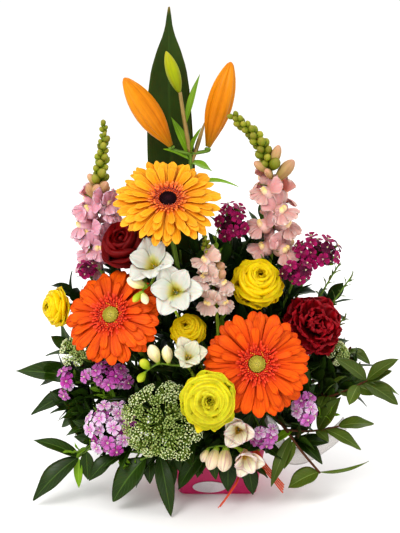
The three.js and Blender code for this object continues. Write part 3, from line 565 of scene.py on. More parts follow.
# Stems and other plain plant skins: long fibres and a soft gloss.
def stemFinish(name, deep, light, roughness=0.42):
    material, tree, shader = newFinish(name, Subsurface_Weight=0.05, Subsurface_Scale=0.003,
                                       Specular_IOR_Level=0.25)
    along, across, pick, side = readMarks(tree)
    fibre = node(tree, "CombineXYZ", None, calc(tree, "MULTIPLY", across, 6.0),
                 calc(tree, "MULTIPLY", along, 5.0), pick).outputs[0]
    lines = node(tree, "TexNoise", None, Vector=fibre, Scale=1.0, Detail=4.0).outputs[0]
    colour = mixHue(tree, step(tree, lines, 0.3, 0.7), deep, light)
    plug(tree, shader.inputs["Base Color"], colour)
    plug(tree, shader.inputs["Roughness"], calc(tree, "MULTIPLY_ADD", lines, 0.2, roughness - 0.1))
    bump = node(tree, "Bump", None, Strength=0.3, Distance=0.0004, Height=lines)
    plug(tree, shader.inputs["Normal"], bump.outputs[0])
    return material


# Made things: a base colour with a fine grain of that size, in object space.
def madeFinish(name, base, shade, scale, roughness, relief, stretch=(1, 1, 1), **shaderValues):
    material, tree, shader = newFinish(name, **shaderValues)
    where = node(tree, "TexCoord").outputs["Object"]
    lie = node(tree, "Mapping", None, Vector=where, Scale=stretch).outputs[0]
    grain = node(tree, "TexNoise", None, Vector=lie, Scale=scale, Detail=5.0, Roughness=0.65).outputs[0]
    broad = node(tree, "TexNoise", None, Vector=where, Scale=scale / 18, Detail=2.0).outputs[0]
    mixed = calc(tree, "ADD", calc(tree, "MULTIPLY", grain, 0.6), calc(tree, "MULTIPLY", broad, 0.4))
    plug(tree, shader.inputs["Base Color"], mixHue(tree, step(tree, mixed, 0.35, 0.68), base, shade))
    plug(tree, shader.inputs["Roughness"], calc(tree, "MULTIPLY_ADD", grain, 0.24, roughness - 0.12))
    bump = node(tree, "Bump", None, Strength=relief, Distance=0.0004, Height=grain)
    plug(tree, shader.inputs["Normal"], bump.outputs[0])
    return material


greens = {
    "stem": stemFinish("stem skin", "3d5a14", "7d9a3a"),
    "twig": stemFinish("brown twig", "3a1a12", "6b4428", roughness=0.6),
    "bract": leafFinish("bract", "4c6b1c", "86a53a", "a9c060", "5d7d2c", veins=5, roughness=0.5, coat=0.05),
    "budGreen": stemFinish("bud green", "66851a", "a9c23c", roughness=0.38),
    "leaf": leafFinish("glossy leaf", "142802", "2c4505", "5c7c2e", "42601e", roughness=0.38, coat=0.08),
    "leafLight": leafFinish(
        "young leaf", "4c780c", "84a81e", "aac656", "88a83c", roughness=0.42, coat=0.05),
    "leafOlive": leafFinish(
        "olive leaf", "34480f", "586a1e", "84964c", "727e44", roughness=0.45, coat=0.05),
    # The shaded leaf is a darker green all through: painted shade for the leaves deep in the bunch and in
    # its gaps.
    "leafPaintedShade": leafFinish("shaded leaf", "0c2203", "1a3a06", "38581c", "2e4a18", roughness=0.5, coat=0.03),
    "tallLeaf": leafFinish(
        "tall leaf", "1c3001", "334e02", "38581a", "34561a", straight=11.0, tip="7a6a2c", relief=0.35,
        roughness=0.45, coat=0.03),
}
print("green finishes made")


# A stem from the foam to the first point and on through the rest, the way that the frame's own stem takes.
def growStem(heap, node, points, face, solidRadius, radius, slot=0):
    coarse, fine = stemWay(node, points, face, solidRadius)
    heap.tube(fine, radius, 10, slot)
    return coarse


# Gerberas.
goldKind = {"petal": "goldPetal", "frill": "goldFrill", "disc": "goldDisc", "eye": "darkEye",
            "slot": "gold_petal", "eyeSlot": "dark_eye"}
orangeKind = {"petal": "orangePetal", "frill": "coralFrill", "disc": "coralDisc", "eye": "limeEye",
              "slot": "orange_petal", "eyeSlot": "lime_eye"}
gerberas = {
    "gerbera_yellow": {
        "at": (168, 199, -45), "turn": 0, "rise": 50, "radius": 53, "droop": 0.3, **goldKind},
    "gerbera_left": {
        "at": (111, 315, -62), "turn": -22, "rise": 32, "radius": 50, "droop": 0.45, **orangeKind},
    "gerbera_right": {
        "at": (257, 364, -90), "turn": 3, "rise": 20, "radius": 51, "droop": 0.25, **orangeKind},
}
# From the back to the front: count, start, lift, how much short of the radius, width and pitch.
gerberaRows = {
    "goldPetal": [(24, 14, -1.9, 14, 9.6, 0.02), (23, 14, -0.9, 17, 9.2, 0.1), (21, 13, 0.0, 22, 8.6, 0.2),
                  (15, 13, 0.8, 29, 7.6, 0.36)],
    "orangePetal": [(19, 14, -1.9, 13.5, 13.0, -0.02), (19, 14, -0.9, 14.5, 12.4, 0.06),
                    (17, 13, 0.0, 18, 11.0, 0.14), (10, 13, 0.8, 28, 7.6, 0.26)],
}
frill = {"rings": 3, "count": 30, "radius": 14.4, "width": 2.1}  # the short florets round the disc
disc = {"florets": 120, "inner": 9.2, "outer": 15.4, "width": 1.25, "dusted": 0.42}
gerberaFinishes = {
    "goldPetal": petalFinish(
        "gold petal", "0 d8560a, 0.2 de780c, 0.5 ec9812, 1 f0a722", "cc6c06", 0.6, 4.5, edge="f2c04a",
        edgeAmount=0.35, back="c87a1a", vary=0.3, relief=0.5),
    "goldFrill": petalFinish("gold frill", "0 c8401c, 0.5 e86a2c, 1 f4954a", "c8442a", 0.4, 5),
    "goldDisc": petalFinish("gold disc", "0 3a0a1c, 0.62 8a2438, 1 f2a07c", "4a1024", 0.3, 4),
    "darkEye": petalFinish("dark eye", "0 14030c, 0.8 240612, 1 3c0e1e", "0c0206", 0.3, 3),
    # The orange petal's darker red edges and tips are painted shade between neighbouring petals.
    "orangePetal": petalFinish(
        "orange petal", "0 b42004, 0.2 d04000, 0.5 dd5400, 1 e56200", "b82e00", 0.6, 4.5, edge="b42c00",
        edgeAmount=0.5, back="c65008", edgeStart=0.82, vary=0.26, relief=0.5),
    "coralFrill": petalFinish("coral frill", "0 b81a10, 0.6 dc3a1c, 1 ee5a30", "a8181a", 0.4, 5),
    "coralDisc": petalFinish("coral disc", "0 9a1e18, 0.5 cc3a30, 1 ee7a58", "8a1a18", 0.3, 4),
    "limeEye": petalFinish("lime eye", "0 6a6a1a, 0.6 a89c34, 1 d2c25c", "7c7420", 0.3, 3),
    "pollen": petalFinish("pollen", "0 c86418, 0.7 e8a02c, 1 f4c84a", "d88a20", 0.3, 3),
}
eyeShape = {"radius": 8, "high": 4.5, "seeds": 120, "seedLong": 1.7, "seedWide": 1.1}


def gerberaEye(name, head, spec):
    heap = Heap()
    low, rim, high = -3.5, eyeShape["radius"], eyeShape["high"]
    dome = [(rim * sin(a), 1.2 + (high - 2.6) * cos(a)) for a in np.linspace(1.45, 0.05, 9)]
    heap.turn([(0.3, low), (rim - 0.3, low), (rim, 0.4), *dome], head, 28)
    for i in range(eyeShape["seeds"]):
        share = (i + 0.5) / eyeShape["seeds"]
        r, a = rim * 0.97 * sqrt(share), i * golden
        z = 0.9 + (high - 2.6) * sqrt(max(0, 1 - share))
        grow = 0.55 + 0.55 * share
        foot = place(head, [r * cos(a), r * sin(a), z])
        top = place(head, [r * 1.04 * cos(a), r * 1.04 * sin(a), z + eyeShape["seedLong"] * grow])
        bud(heap, foot, top, eyeShape["seedWide"] * grow * 1.3, 6, 4, slot=int(share < 0.09),
            pick=(i * 0.37) % 1, point=0.5)
    standFor(heap, name + "_eye", [gerberaFinishes[spec["eye"]], gerberaFinishes["darkEye"]])


def gerberaPetals(name, head, spec):
    heap, dice = Heap(), diceFor(name)
    for k, (count, start, lift, short, width, pitch) in enumerate(gerberaRows[spec["petal"]]):
        for i in range(count):
            angle = (i + 0.5 * (k % 2)) / count * tau + dice.normal(0, 0.05)
            lie = head @ spinZ(angle) @ moved(start, 0, lift + 0.4 * (i % 2)) @ spinX(dice.normal(0, 0.13))
            long = (spec["radius"] - short) * (1 + dice.uniform(-0.07, 0.03))
            blade(heap, lie, long, width * dice.uniform(0.88, 1.08), strapOutline,
                  pitch=pitch + dice.normal(0, 0.05), bend=-spec["droop"] + dice.normal(0, 0.1),
                  fold=dice.uniform(-0.05, 0.2), thick=0.7, rows=14, columns=12, ridges=4, ridge=0.36,
                  sway=dice.normal(0, 0.03), cut=dice.uniform(0.01, 0.06), twist=dice.normal(0, 0.12),
                  jags=3, jag=dice.uniform(0.0, 0.03), wave=0.25, pick=dice.uniform())
    for ring in range(frill["rings"]):
        for i in range(frill["count"]):
            angle = (i + 0.5 * (ring % 2)) / frill["count"] * tau + dice.normal(0, 0.06)
            lie = head @ spinZ(angle) @ moved(frill["radius"] - 1.3 * ring, 0, 1.1 + 0.5 * ring)
            blade(heap, lie, dice.uniform(6, 9.5) - 1.6 * ring, frill["width"], strapOutline,
                  pitch=0.4 + 0.2 * ring, bend=-0.4, fold=0.2, thick=0.4, rows=6, columns=4,
                  pick=dice.uniform(), slot=1)
    hoop = [(8.3, -3.4), (13, -3.5), (17.6, -2.6), (17, -0.4), (13, 0.9), (9.6, 1.6), (8.5, 1.2)]
    ringOfSkin(heap, head, hoop, 40, 1)
    for i in range(disc["florets"]):
        share = (i + 0.5) / disc["florets"]
        r, a = disc["inner"] + (disc["outer"] - disc["inner"]) * share, i * golden
        foot = [r * cos(a), r * sin(a), 1.1]
        lean = 1 + 0.12 * share
        top = [r * lean * cos(a), r * lean * sin(a), 3.9 - 0.7 * share + dice.uniform(-0.4, 0.5)]
        # ripe pollen near the eye
        dusted = spec["eye"] == "limeEye" and share < disc["dusted"] and i % 3 == 0
        bud(heap, place(head, foot), place(head, top), disc["width"], 6, 5, belly=0.62, pick=dice.uniform(),
            slot=3 if dusted else 2, point=0.6)
    kinds = (spec["petal"], spec["frill"], spec["disc"], "pollen")
    standFor(heap, name + "_petals", [gerberaFinishes[k] for k in kinds])


# A closed ring: the profile of [radius, height] is a loop that doesn't reach the axis.
def ringOfSkin(heap, matrix, profile, sides, slot):
    angles = np.arange(sides) / sides * tau
    loop = np.array(profile, float)
    half = sides // 2
    for part in (angles[:half + 1], np.append(angles[half:], tau)):  # two halves, each closed at its ends
        rings = np.array([[(r * cos(a), r * sin(a), z) for r, z in loop] for a in part])
        lie = place(matrix, rings)
        evenly = np.full(rings.shape, (0.3, 0, 0.5))
        heap.skin(lie, lie[0].mean(axis=0), lie[-1].mean(axis=0), evenly, np.ones(rings.shape[:2]), slot)


# The green cup under a bloom, with two rows of bracts. The cup is in slot 0 and the bracts in slot 1.
def greenCup(heap, head, under, radius, bracts, long):
    heap.turn([(0.2, under - 9), (2.6, under - 8.6), (radius * 0.35, under - 6), (radius * 0.75, under - 3),
               (radius, under - 0.8), (radius * 0.6, under - 0.3), (0.2, under - 0.2)], head, 20)
    for row in range(2):
        for i in range(bracts):
            lie = head @ spinZ((i + 0.5 * row) / bracts * tau)
            lie = lie @ moved(radius * (0.62 + 0.2 * row), 0, under - 4 + row)
            blade(heap, lie, long, long * 0.36, pitch=0.75 - 0.3 * row, bend=-0.5, fold=0.3, thick=0.5,
                  rows=6, columns=4, pick=(i * 0.37) % 1, slot=1)


def gerbera(name, spec):
    face = aim(spec["turn"], spec["rise"])
    head = pose(seen(spec["at"]), face)
    gerberaEye(name, head, spec)
    gerberaPetals(name, head, spec)
    heap = Heap()
    under = -3.85
    neck = place(head, [0, 0, under - 7])
    growStem(heap, name + "_stem", [neck], face, 2.7, lambda s: 2.6 + 4 * np.clip(s - 0.9, 0, 1))
    greenCup(heap, head, under, 10.5, 14, 9)
    standFor(heap, name + "_stem", [greens["stem"], greens["bract"]])


for gerberaName, gerberaSpec in gerberas.items():
    gerbera(gerberaName, gerberaSpec)
print("gerberas made,", faceTotal, "faces so far")

# Ranunculus: cups within cups. The carnation is a ball of ruffled petals.
balls = {
    "ranunculus_right": {
        "at": (258, 279, -42), "turn": 6, "rise": 38, "radius": 24, "finish": "yellow",
        "lean": (0.14, 0.16)},
    "ranunculus_middle": {
        "at": (187, 328, -66), "turn": -12, "rise": 40, "radius": 16, "finish": "yellow",
        "lean": (-0.08, 0.12)},
    "ranunculus_low": {
        "at": (208, 402, -119), "turn": -6, "rise": 10, "radius": 26.5, "finish": "lemon",
        "lean": (0.1, 0.12), "heart": 0, "skirt": [(252, 0.86), (228, 0.68), (282, 0.76), (306, 0.6),
            (190, 0.66)]},
    "ranunculus_side": {"at": (52, 307, -22), "turn": -62, "rise": 8, "radius": 19, "finish": "yellow"},
    "ranunculus_red": {
        "at": (122, 240, -34), "turn": -30, "rise": 44, "radius": 25, "finish": "wine",
        "lean": (-0.12, 0.14)},
    "carnation": {"at": (316, 325, -34), "turn": 14, "rise": 22, "radius": 33.5, "finish": "carnation"},
}
ballFinishes = {
    "yellow": petalFinish(
        "yellow petal", "0 b8a60c, 0.18 dca600, 0.7 ecb400, 1 f3c202", "d09600", 0.4, 9, edge="f8d41c",
        edgeAmount=0.35, back="ecbc04", backAmount=0.3, roughness=0.4, soft=0.3, vary=0.12),
    "lemon": petalFinish(
        "lemon petal", "0 9ea010, 0.18 c4a800, 0.7 d6bc00, 1 e0ca06", "aa9200", 0.4, 9, edge="e0d240",
        edgeAmount=0.3, back="d0c014", backAmount=0.35, roughness=0.4, soft=0.3, vary=0.12),
    "wine": petalFinish(
        "wine petal", "0 180002, 0.4 380002, 0.8 580202, 1 6c0404", "300002", 0.45, 8, edge="86040e",
        edgeAmount=0.2, back="560004", roughness=0.42, soft=0.06, gloss=0.14),
    # The carnation petal's near-black root is painted shade deep inside the ball, and its bright red edges
    # and tips are a painted highlight on the frills.
    "carnation": petalFinish(
        "carnation petal", "0 120003, 0.35 460108, 0.8 84020e, 1 a4081a", "2c0006", 0.5, 12, edge="b4182c",
        edgeAmount=0.35, back="6c040e", roughness=0.42, soft=0.06, edgeStart=0.85, gloss=0.18),
}
# Petals from the heart outwards: count, the lip's radius and its height, half the angle that a petal spans,
# wave, cut and belly. Radius and height run from the layer's first petal to its last, as shares of the
# bloom's radius.
cupLayers = {
    "yellow": [(11, (0.11, 0.3), (0.76, 0.9), 1.5, 0.004, 0.06, 1.3),
               (9, (0.33, 0.52), (0.92, 0.86), 1.4, 0.008, 0.12, 1.2),
               (6, (0.6, 0.78), (0.8, 0.62), 1.3, 0.02, 0.24, 1.1),
               (4, (0.88, 0.98), (0.56, 0.36), 1.3, 0.04, 0.36, 1.02),
               (5, (1.04, 1.1), (0.28, 0.04), 1.1, 0.06, 0.44, 0.92)],
    "lemon": [(12, (0.08, 0.27), (0.84, 0.97), 1.5, 0.004, 0.06, 1.3),
              (7, (0.31, 0.5), (1.0, 0.98), 1.5, 0.006, 0.12, 1.25),
              (5, (0.58, 0.76), (0.94, 0.82), 1.5, 0.012, 0.22, 1.16),
              (4, (0.82, 0.94), (0.72, 0.54), 1.4, 0.02, 0.34, 1.08),
              (5, (0.99, 1.05), (0.46, 0.2), 0.95, 0.04, 0.5, 1.0)],
    "wine": [(8, (0.09, 0.3), (0.5, 0.66), 1.4, 0.006, 0.06, 1.3),
             (6, (0.36, 0.56), (0.76, 0.78), 1.4, 0.01, 0.14, 1.25),
             (4, (0.68, 0.86), (0.74, 0.54), 1.5, 0.02, 0.26, 1.12),
             (4, (0.96, 1.06), (0.42, 0.14), 1.3, 0.03, 0.4, 1.0)],
}


def ranunculusBloom(name, head, spec):
    heap, dice = Heap(), diceFor(name)
    r = spec["radius"]
    heap.turn([(0.02 * r, 0.1 * r), (0.12 * r, 0.2 * r), (0.13 * r, 0.55 * r), (0.09 * r, 0.72 * r),
               (0.02 * r, 0.76 * r)], head, 14, spec.get("heart", 1))
    lean = spec.get("lean", (0, 0))  # how far the heart sits off the middle
    turned = 0
    for k, (count, lips, heights, half, wave, cut, fullness) in enumerate(cupLayers[spec["finish"]]):
        for i in range(count):
            share = i / (count - 1)
            lip = r * (lips[0] + (lips[1] - lips[0]) * share)
            high = r * (heights[0] + (heights[1] - heights[0]) * share) * dice.uniform(0.95, 1.05)
            belly = lip * fullness + 0.05 * r
            profile = [(0.12 * r, 0.02 * r), (belly * 0.82, -0.05 * r + 0.02 * r * k), (belly, high * 0.66),
                       (lip, high)]
            spin = turned * golden + dice.normal(0, 0.12)
            inward = 1 - lip / r
            core = head @ moved(lean[0] * inward * r, lean[1] * inward * r, 0)
            cupPetal(heap, core, profile, spin, half * dice.uniform(0.9, 1.1),
                     cut=cut * dice.uniform(0.8, 1.3), tuck=0.035 * r * dice.uniform(0.4, 1.2),
                     wave=r * wave * dice.uniform(0.6, 1.3), waves=1.3 + 0.4 * k, pick=dice.uniform())
            turned += 1
    for angle, share in spec.get("skirt", []):  # loose petals that hang below the globe
        lie = head @ spinZ(radians(angle)) @ moved(0.4 * r, 0, 0.08 * r)
        blade(heap, lie, r * share, r * 0.8, spearOutline, pitch=0.3, bend=-0.2 + dice.normal(0, 0.1),
              fold=-0.3, thick=0.5, rows=14, columns=12, wave=0.03 * r, waves=1.3, pick=dice.uniform())
    red = spec["finish"] == "wine"
    heart = ballFinishes["wine"] if red else greens["budGreen"]
    standFor(heap, name + "_bloom", [ballFinishes[spec["finish"]], heart])


# From the outside in: count, then start, lift, length and width in shares of the radius, pitch and bend.
carnationRows = [(9, 0.14, 0.06, 0.9, 0.86, -0.05, 0.3), (9, 0.14, 0.14, 0.86, 0.8, 0.2, 0.35),
                 (8, 0.12, 0.2, 0.8, 0.74, 0.46, 0.4), (8, 0.1, 0.26, 0.74, 0.66, 0.76, 0.4),
                 (7, 0.08, 0.3, 0.66, 0.56, 1.04, 0.35), (6, 0.05, 0.34, 0.56, 0.44, 1.32, 0.2)]


def carnationBloom(name, head, spec):
    heap, dice = Heap(), diceFor(name)
    r = spec["radius"]
    for k, (count, start, lift, length, width, pitch, bend) in enumerate(carnationRows):
        for i in range(count):
            spin = (i + 0.5 * (k % 2)) / count * tau + dice.normal(0, 0.12)
            lie = head @ spinZ(spin) @ moved(start * r, 0, lift * r) @ spinX(dice.normal(0, 0.22))
            blade(heap, lie, length * r * dice.uniform(0.86, 1.04), width * r * dice.uniform(0.9, 1.15),
                  fanOutline, pitch=pitch + dice.normal(0, 0.12), bend=bend + dice.normal(0, 0.15),
                  fold=0.16, thick=0.45, rows=16, columns=32, ruffle=0.06 * r * dice.uniform(0.6, 1.4),
                  cut=0.14, jags=11, jag=0.075, wave=0.05 * r, waves=1.2, twist=dice.normal(0, 0.3),
                  pick=dice.uniform())
    standFor(heap, name + "_bloom", [ballFinishes["carnation"]])


def ball(name, spec):
    face = aim(spec["turn"], spec["rise"])
    r = spec["radius"]
    head = pose(seen(spec["at"]) - face * 0.55 * r, face)
    (carnationBloom if name == "carnation" else ranunculusBloom)(name, head, spec)
    heap = Heap()
    growStem(heap, name + "_stem", [place(head, [0, 0, -5.35])], face, 2.1, 2.0)
    greenCup(heap, head, -0.35, 0.3 * r, 5, 0.5 * r)
    standFor(heap, name + "_stem", [greens["stem"], greens["bract"]])


for ballName, ballSpec in balls.items():
    ball(ballName, ballSpec)
print("ranunculus and carnation made,", faceTotal, "faces so far")

# Sweet william and lace flower: florets over a dome, each on its own stalk from a knot.
clusters = {
    "sweet_william_magenta_centre": {
        "at": (232, 221, -8), "turn": 0, "rise": 40, "spread": (15, 19, 9), "count": 8, "size": 7.2,
        "kind": "magenta"},
    "sweet_william_magenta_right_top": {
        "at": (318, 252, -14), "turn": 12, "rise": 40, "spread": (23, 17, 9), "count": 10, "size": 7.2,
        "kind": "magenta"},
    "sweet_william_magenta_right_low": {
        "at": (298, 272, -38), "turn": 5, "rise": 30, "spread": (15, 10, 6), "count": 5, "size": 7,
        "kind": "magenta"},
    "sweet_william_magenta_left": {
        "at": (86, 269, -24), "turn": -20, "rise": 40, "spread": (9, 6, 5), "count": 4, "size": 6.2,
        "kind": "magenta"},
    "sweet_william_pink_left_top": {
        "at": (108, 376, -52), "turn": -8, "rise": 20, "spread": (25, 11, 6), "count": 7, "size": 7.4,
        "kind": "pink"},
    "sweet_william_pink_left_mid": {
        "at": (66, 381, -36), "turn": -30, "rise": 20, "spread": (6, 15, 5), "count": 3, "size": 7,
        "kind": "pink"},
    "sweet_william_pink_left_low": {
        "at": (109, 428, -74), "turn": -10, "rise": 25, "spread": (23, 25, 9), "count": 12, "size": 7.8,
        "kind": "white"},
    "sweet_william_pink_right_low": {
        "at": (265, 437, -80), "turn": 5, "rise": 15, "spread": (12, 10, 5), "count": 5, "size": 7.4,
        "kind": "white"},
    "sweet_william_pink_right_top": {
        "at": (305, 408, -72), "turn": 14, "rise": 25, "spread": (10, 15, 6), "count": 6, "size": 7.8,
        "kind": "pink"},
    "lace_front": {
        "at": (163, 421, -92), "turn": -4, "rise": 22, "spread": (37, 34, 13), "count": 10, "size": 10.5,
        "kind": "lace", "umbels": 34, "dots": 30},
    "lace_left": {
        "at": (76, 350, -30), "turn": -20, "rise": 40, "spread": (15, 13, 6), "count": 4, "size": 6.5,
        "kind": "lace", "umbels": 12, "dots": 24},
    "lace_right": {
        "at": (337, 353, -18), "turn": 20, "rise": 40, "spread": (10, 12, 5), "count": 4, "size": 6.5,
        "kind": "lace", "umbels": 9, "dots": 24},
}
clusterFinishes = {
    "magenta": petalFinish(
        "magenta floret", "0 b8609a, 0.12 5c0330, 0.5 880448, 1 a80860", "500230", 0.5, 6, edge="b61a70",
        edgeAmount=0.3, back="863468", sheen=0.1, vary=0.3),
    "wineMagenta": petalFinish(
        "deep magenta floret", "0 8a4070, 0.12 36021e, 1 66043a", "2e0118", 0.5, 6, edge="821856",
        edgeAmount=0.25, back="68244c", sheen=0.1, vary=0.3),
    "pink": petalFinish(
        "pink floret", "0 e8cce2, 0.14 86246e, 0.4 b456a2, 1 ca80bc", "9e3a8c", 0.5, 6, edge="d898cc",
        edgeAmount=0.4, back="c890be", sheen=0.1, vary=0.25),
    "rose": petalFinish(
        "rose floret", "0 e8c0de, 0.14 821868, 0.5 ae3c98, 1 c256ae", "902878", 0.5, 6, edge="ca66b8",
        edgeAmount=0.35, back="b86aaa", sheen=0.1, vary=0.25),
    "white": petalFinish(
        "white pink floret", "0 ecdce8, 0.15 a63e8c, 0.4 cf92c2, 1 e6d4e0", "b65ca4", 0.55, 6,
        edge="ece0e8", edgeAmount=0.7, back="e6cce0", sheen=0.1),
    "laceDot": petalFinish("lace floret", "0 d6dc98, 1 f6f8d0", "c8d284", 0.2, 3, roughness=0.6),
    "laceBud": petalFinish("closed lace floret", "0 9aac54, 1 c6d092", "8a9e48", 0.2, 3, roughness=0.6),
    "laceRay": stemFinish("lace ray", "5e7820", "9cb052"),
    "spike": leafFinish("narrow leaf", "183a0c", "34601a", "6c8f44", "44682a", roughness=0.5, coat=0.05),
}
# The three kinds of floret in a head, and the shares of those that aren't of the first kind by rule.
mixedHeads = {"magenta": ("magenta", "wineMagenta", "magenta"), "pink": ("pink", "rose", "white"),
              "white": ("white", "pink", "rose")}
mixedShares = {"magenta": (0.55, 0.25, 0.2), "pink": (0.45, 0.27, 0.28), "white": (0.56, 0.28, 0.16)}


def domePoints(count, spread, spin=0.0):
    out = []
    for i in range(count):
        h = 1 - ((i + 0.5) / count) * 0.92
        r, a = sqrt(1 - h * h), i * golden + spin
        x, y = r * cos(a), r * sin(a)
        out.append((vec(x * spread[0], y * spread[1], h * spread[2]), vec(x, y, h + 0.5)))
    return out


def floret(heap, flower, size, knot, dice, petalSlot):
    for k in range(5):
        lie = flower @ spinZ(k / 5 * tau + dice.normal(0, 0.05)) @ moved(0.06 * size, 0, 0.15 * (k % 2))
        blade(heap, lie, size * dice.uniform(0.9, 1.1), size * 0.92, fanOutline,
              pitch=0.12 + dice.normal(0, 0.14), bend=-0.3 + dice.normal(0, 0.22), fold=0.1, thick=0.35,
              rows=8, columns=14, cut=0.12, jags=5, jag=0.16, ruffle=0.06 * size, pick=dice.uniform(),
              slot=petalSlot)
    for k in range(3):  # pale anthers in the throat
        a = k / 3 * tau + 0.4
        bud(heap, place(flower, [0, 0, 0.1]), place(flower, [0.9 * cos(a), 0.9 * sin(a), 2.2]),
            0.7, 5, 4, pick=0.95, slot=2)
    back = place(flower, [0, 0, -0.4])
    calyx = back + unit(knot - back) * min(11, norm(knot - back) * 0.8)
    bud(heap, calyx, back, 3.4, 8, 6, belly=0.55, slot=1, pick=dice.uniform(), point=0.5)
    bend = (calyx + knot) / 2 + unit(turnTo(flower, [0, 0, -1])) * 2
    heap.tube(smoothLine([calyx + unit(back - calyx) * 1.5, bend, knot], 4), 0.75, 6, 1)


def sweetWilliam(name, spec):
    heap, dice = Heap(), diceFor(name)
    face = aim(spec["turn"], spec["rise"])
    head = pose(seen(spec["at"]), face)
    depth = 10 + 0.45 * max(spec["spread"])
    knot = place(head, [0, 0, -depth])
    kinds, shares = mixedHeads[spec["kind"]], mixedShares[spec["kind"]]

    def tint():
        return (0, 4, 5)[dice.choice(3, p=shares)]

    for i, (at, out) in enumerate(domePoints(spec["count"], spec["spread"])):
        lift = place(head, at + vec(0, 0, 1.6 * sin(i * 2.3)))
        floret(heap, pose(lift, turnTo(head, out), i), spec["size"], knot, dice, 0 if i % 2 else tint())
    extra = domePoints(spec["count"] + 2, [0.84 * q for q in spec["spread"]], 1.1)
    for i, (at, out) in enumerate(extra):  # a second layer of smaller florets below the first
        lift = place(head, at - vec(0, 0, 3.2))
        floret(heap, pose(lift, turnTo(head, out), 0.4 + i), spec["size"] * 0.84, knot, dice, tint())
    for i in range(5 * spec["count"]):  # narrow leaves and closed buds among them
        a, r = i * golden + 0.6, 0.5 + 0.72 * dice.uniform()
        tip = place(head, [r * cos(a) * spec["spread"][0], r * sin(a) * spec["spread"][1],
                           dice.uniform(-9, 0.5)])
        if i % 4:
            lie = reach(knot, tip, turnTo(head, [0, 0, 1]))
            blade(heap, lie, norm(tip - knot), 3.4, pitch=0.2, bend=-0.4, fold=0.3,
                  thick=0.4, rows=7, columns=4, pick=dice.uniform(), slot=3)
        else:
            low = knot + (tip - knot) * 0.55
            heap.tube([knot, low], 0.6, 6, 1)
            bud(heap, low - (tip - low) * 0.1, tip, 3.6, 8, 7, belly=0.45, slot=1, pick=dice.uniform())
    growStem(heap, name, [knot], face, 1.5, 1.4, 1)
    finishes = [clusterFinishes[kinds[0]], greens["stem"], clusterFinishes["laceDot"],
                clusterFinishes["spike"], clusterFinishes[kinds[1]], clusterFinishes[kinds[2]]]
    standFor(heap, name, finishes)


def laceFlower(name, spec):
    heap, dice = Heap(), diceFor(name)
    face = aim(spec["turn"], spec["rise"])
    head = pose(seen(spec["at"]), face)
    depth = 10 + 0.45 * max(spec["spread"])
    knot = place(head, [0, 0, -depth])
    for i, (at, out) in enumerate(domePoints(spec["umbels"], spec["spread"])):
        size = spec["size"] * dice.uniform(0.72, 1.12)
        shift = dice.normal(0, 0.14, 3) * size
        crown = pose(place(head, at + shift), turnTo(head, out), i)
        fork = place(crown, [0, 0, -0.6 * size])
        shut = i < 0.3 * spec["umbels"] or i % 5 == 0  # the middle of the head is greener
        middle = (knot + fork) / 2 + turnTo(head, [0, 0, -0.08 * depth])
        heap.tube(smoothLine([knot, middle, fork], 5), 0.55, 6, 1)
        for dotAt, dotOut in domePoints(spec["dots"], (size * 0.8, size * 0.8, size * 0.36), i):
            dot = place(crown, dotAt + dice.normal(0, 0.05 * size, 3))
            heap.tube([fork, (fork + dot) / 2 + turnTo(crown, [0, 0, -0.4]), dot], 0.3, 4, 1)
            star = pose(dot, turnTo(crown, dotOut), dice.uniform(0, 6))
            bud(heap, place(star, [0, 0, -1.1]), place(star, [0, 0, 0.2]), 0.95, 5, 4, slot=1, point=0.5)
            for k in range(5):
                tipPoint = place(star, [0.95 * cos(k / 5 * tau), 0.95 * sin(k / 5 * tau), 0.3])
                bud(heap, place(star, [0, 0, -0.15]), tipPoint, 0.78, 4, 3, slot=2 if shut else 0,
                    pick=dice.uniform(), point=0.5)
    growStem(heap, name, [knot], face, 1.5, 1.5, 1)
    standFor(heap, name, [clusterFinishes[k] for k in ("laceDot", "laceRay", "laceBud")])


for clusterName, clusterSpec in clusters.items():
    (laceFlower if clusterSpec["kind"] == "lace" else sweetWilliam)(clusterName, clusterSpec)
print("sweet william and lace flowers made,", faceTotal, "faces so far")

# Snapdragons: two-lipped blossoms low on the spire, closed buds that shrink to its tip.
spires = {
    "snapdragon_left": {
        "line": [(102, 268, 2), (98, 235, 2), (97, 205, 2), (100, 175, 2), (103, 150, 2), (104, 124, 2)],
        "blossoms": 4, "open": 0.5, "reach": 24, "finish": "lilacPink", "bold": 1.08, "tanShare": 0.16,
        "opening": 4, "tan": [(0.47, (87, 184, -6), 9), (0.5, (107, 182, -10), 10),
            (0.57, (88, 174, -4), 8)], "towards": [(0.0, (90, 263, -18)), (0.08, (83, 249, -14)),
            (0.2, (82, 228, -12)), (0.34, (83, 203, -10)), (0.12, (99, 246, -20)),
            (0.42, (114, 196, -12))]},
    "snapdragon_right": {
        "line": [(270, 268, -2), (273, 235, -2), (274, 200, -2), (271, 170, -2), (258, 141, -2),
            (234, 116, -2)], "blossoms": 2, "open": 0.6, "reach": 25, "finish": "salmonPink", "bold": 1.16,
        "tanShare": 0.0, "opening": 1, "tan": [(0.6, (279, 145, -8), 10), (0.52, (294, 160, -8), 13),
            (0.58, (254, 162, -8), 9)], "towards": [(0.08, (256, 238, -18)), (0.22, (251, 215, -16)),
            (0.42, (259, 184, -18)), (0.1, (286, 248, -16)), (0.24, (290, 222, -14)),
            (0.3, (284, 206, -18))]},
    "snapdragon_small": {
        "line": [(216, 305, -50), (213, 285, -52), (210, 262, -52), (205, 237, -50)], "blossoms": 4,
        "open": 0.62, "reach": 16, "finish": "palePink", "bold": 1.4, "tanShare": 0.16, "opening": 4,
        "tan": [(0.5, (224, 264, -64), 9), (0.42, (225, 272, -66), 10)],
        "towards": [(0.36, (198, 274, -70)), (0.1, (204, 304, -70)), (0.3, (229, 280, -66)),
            (0.56, (203, 257, -64)), (0.1, (226, 302, -62))]},
}
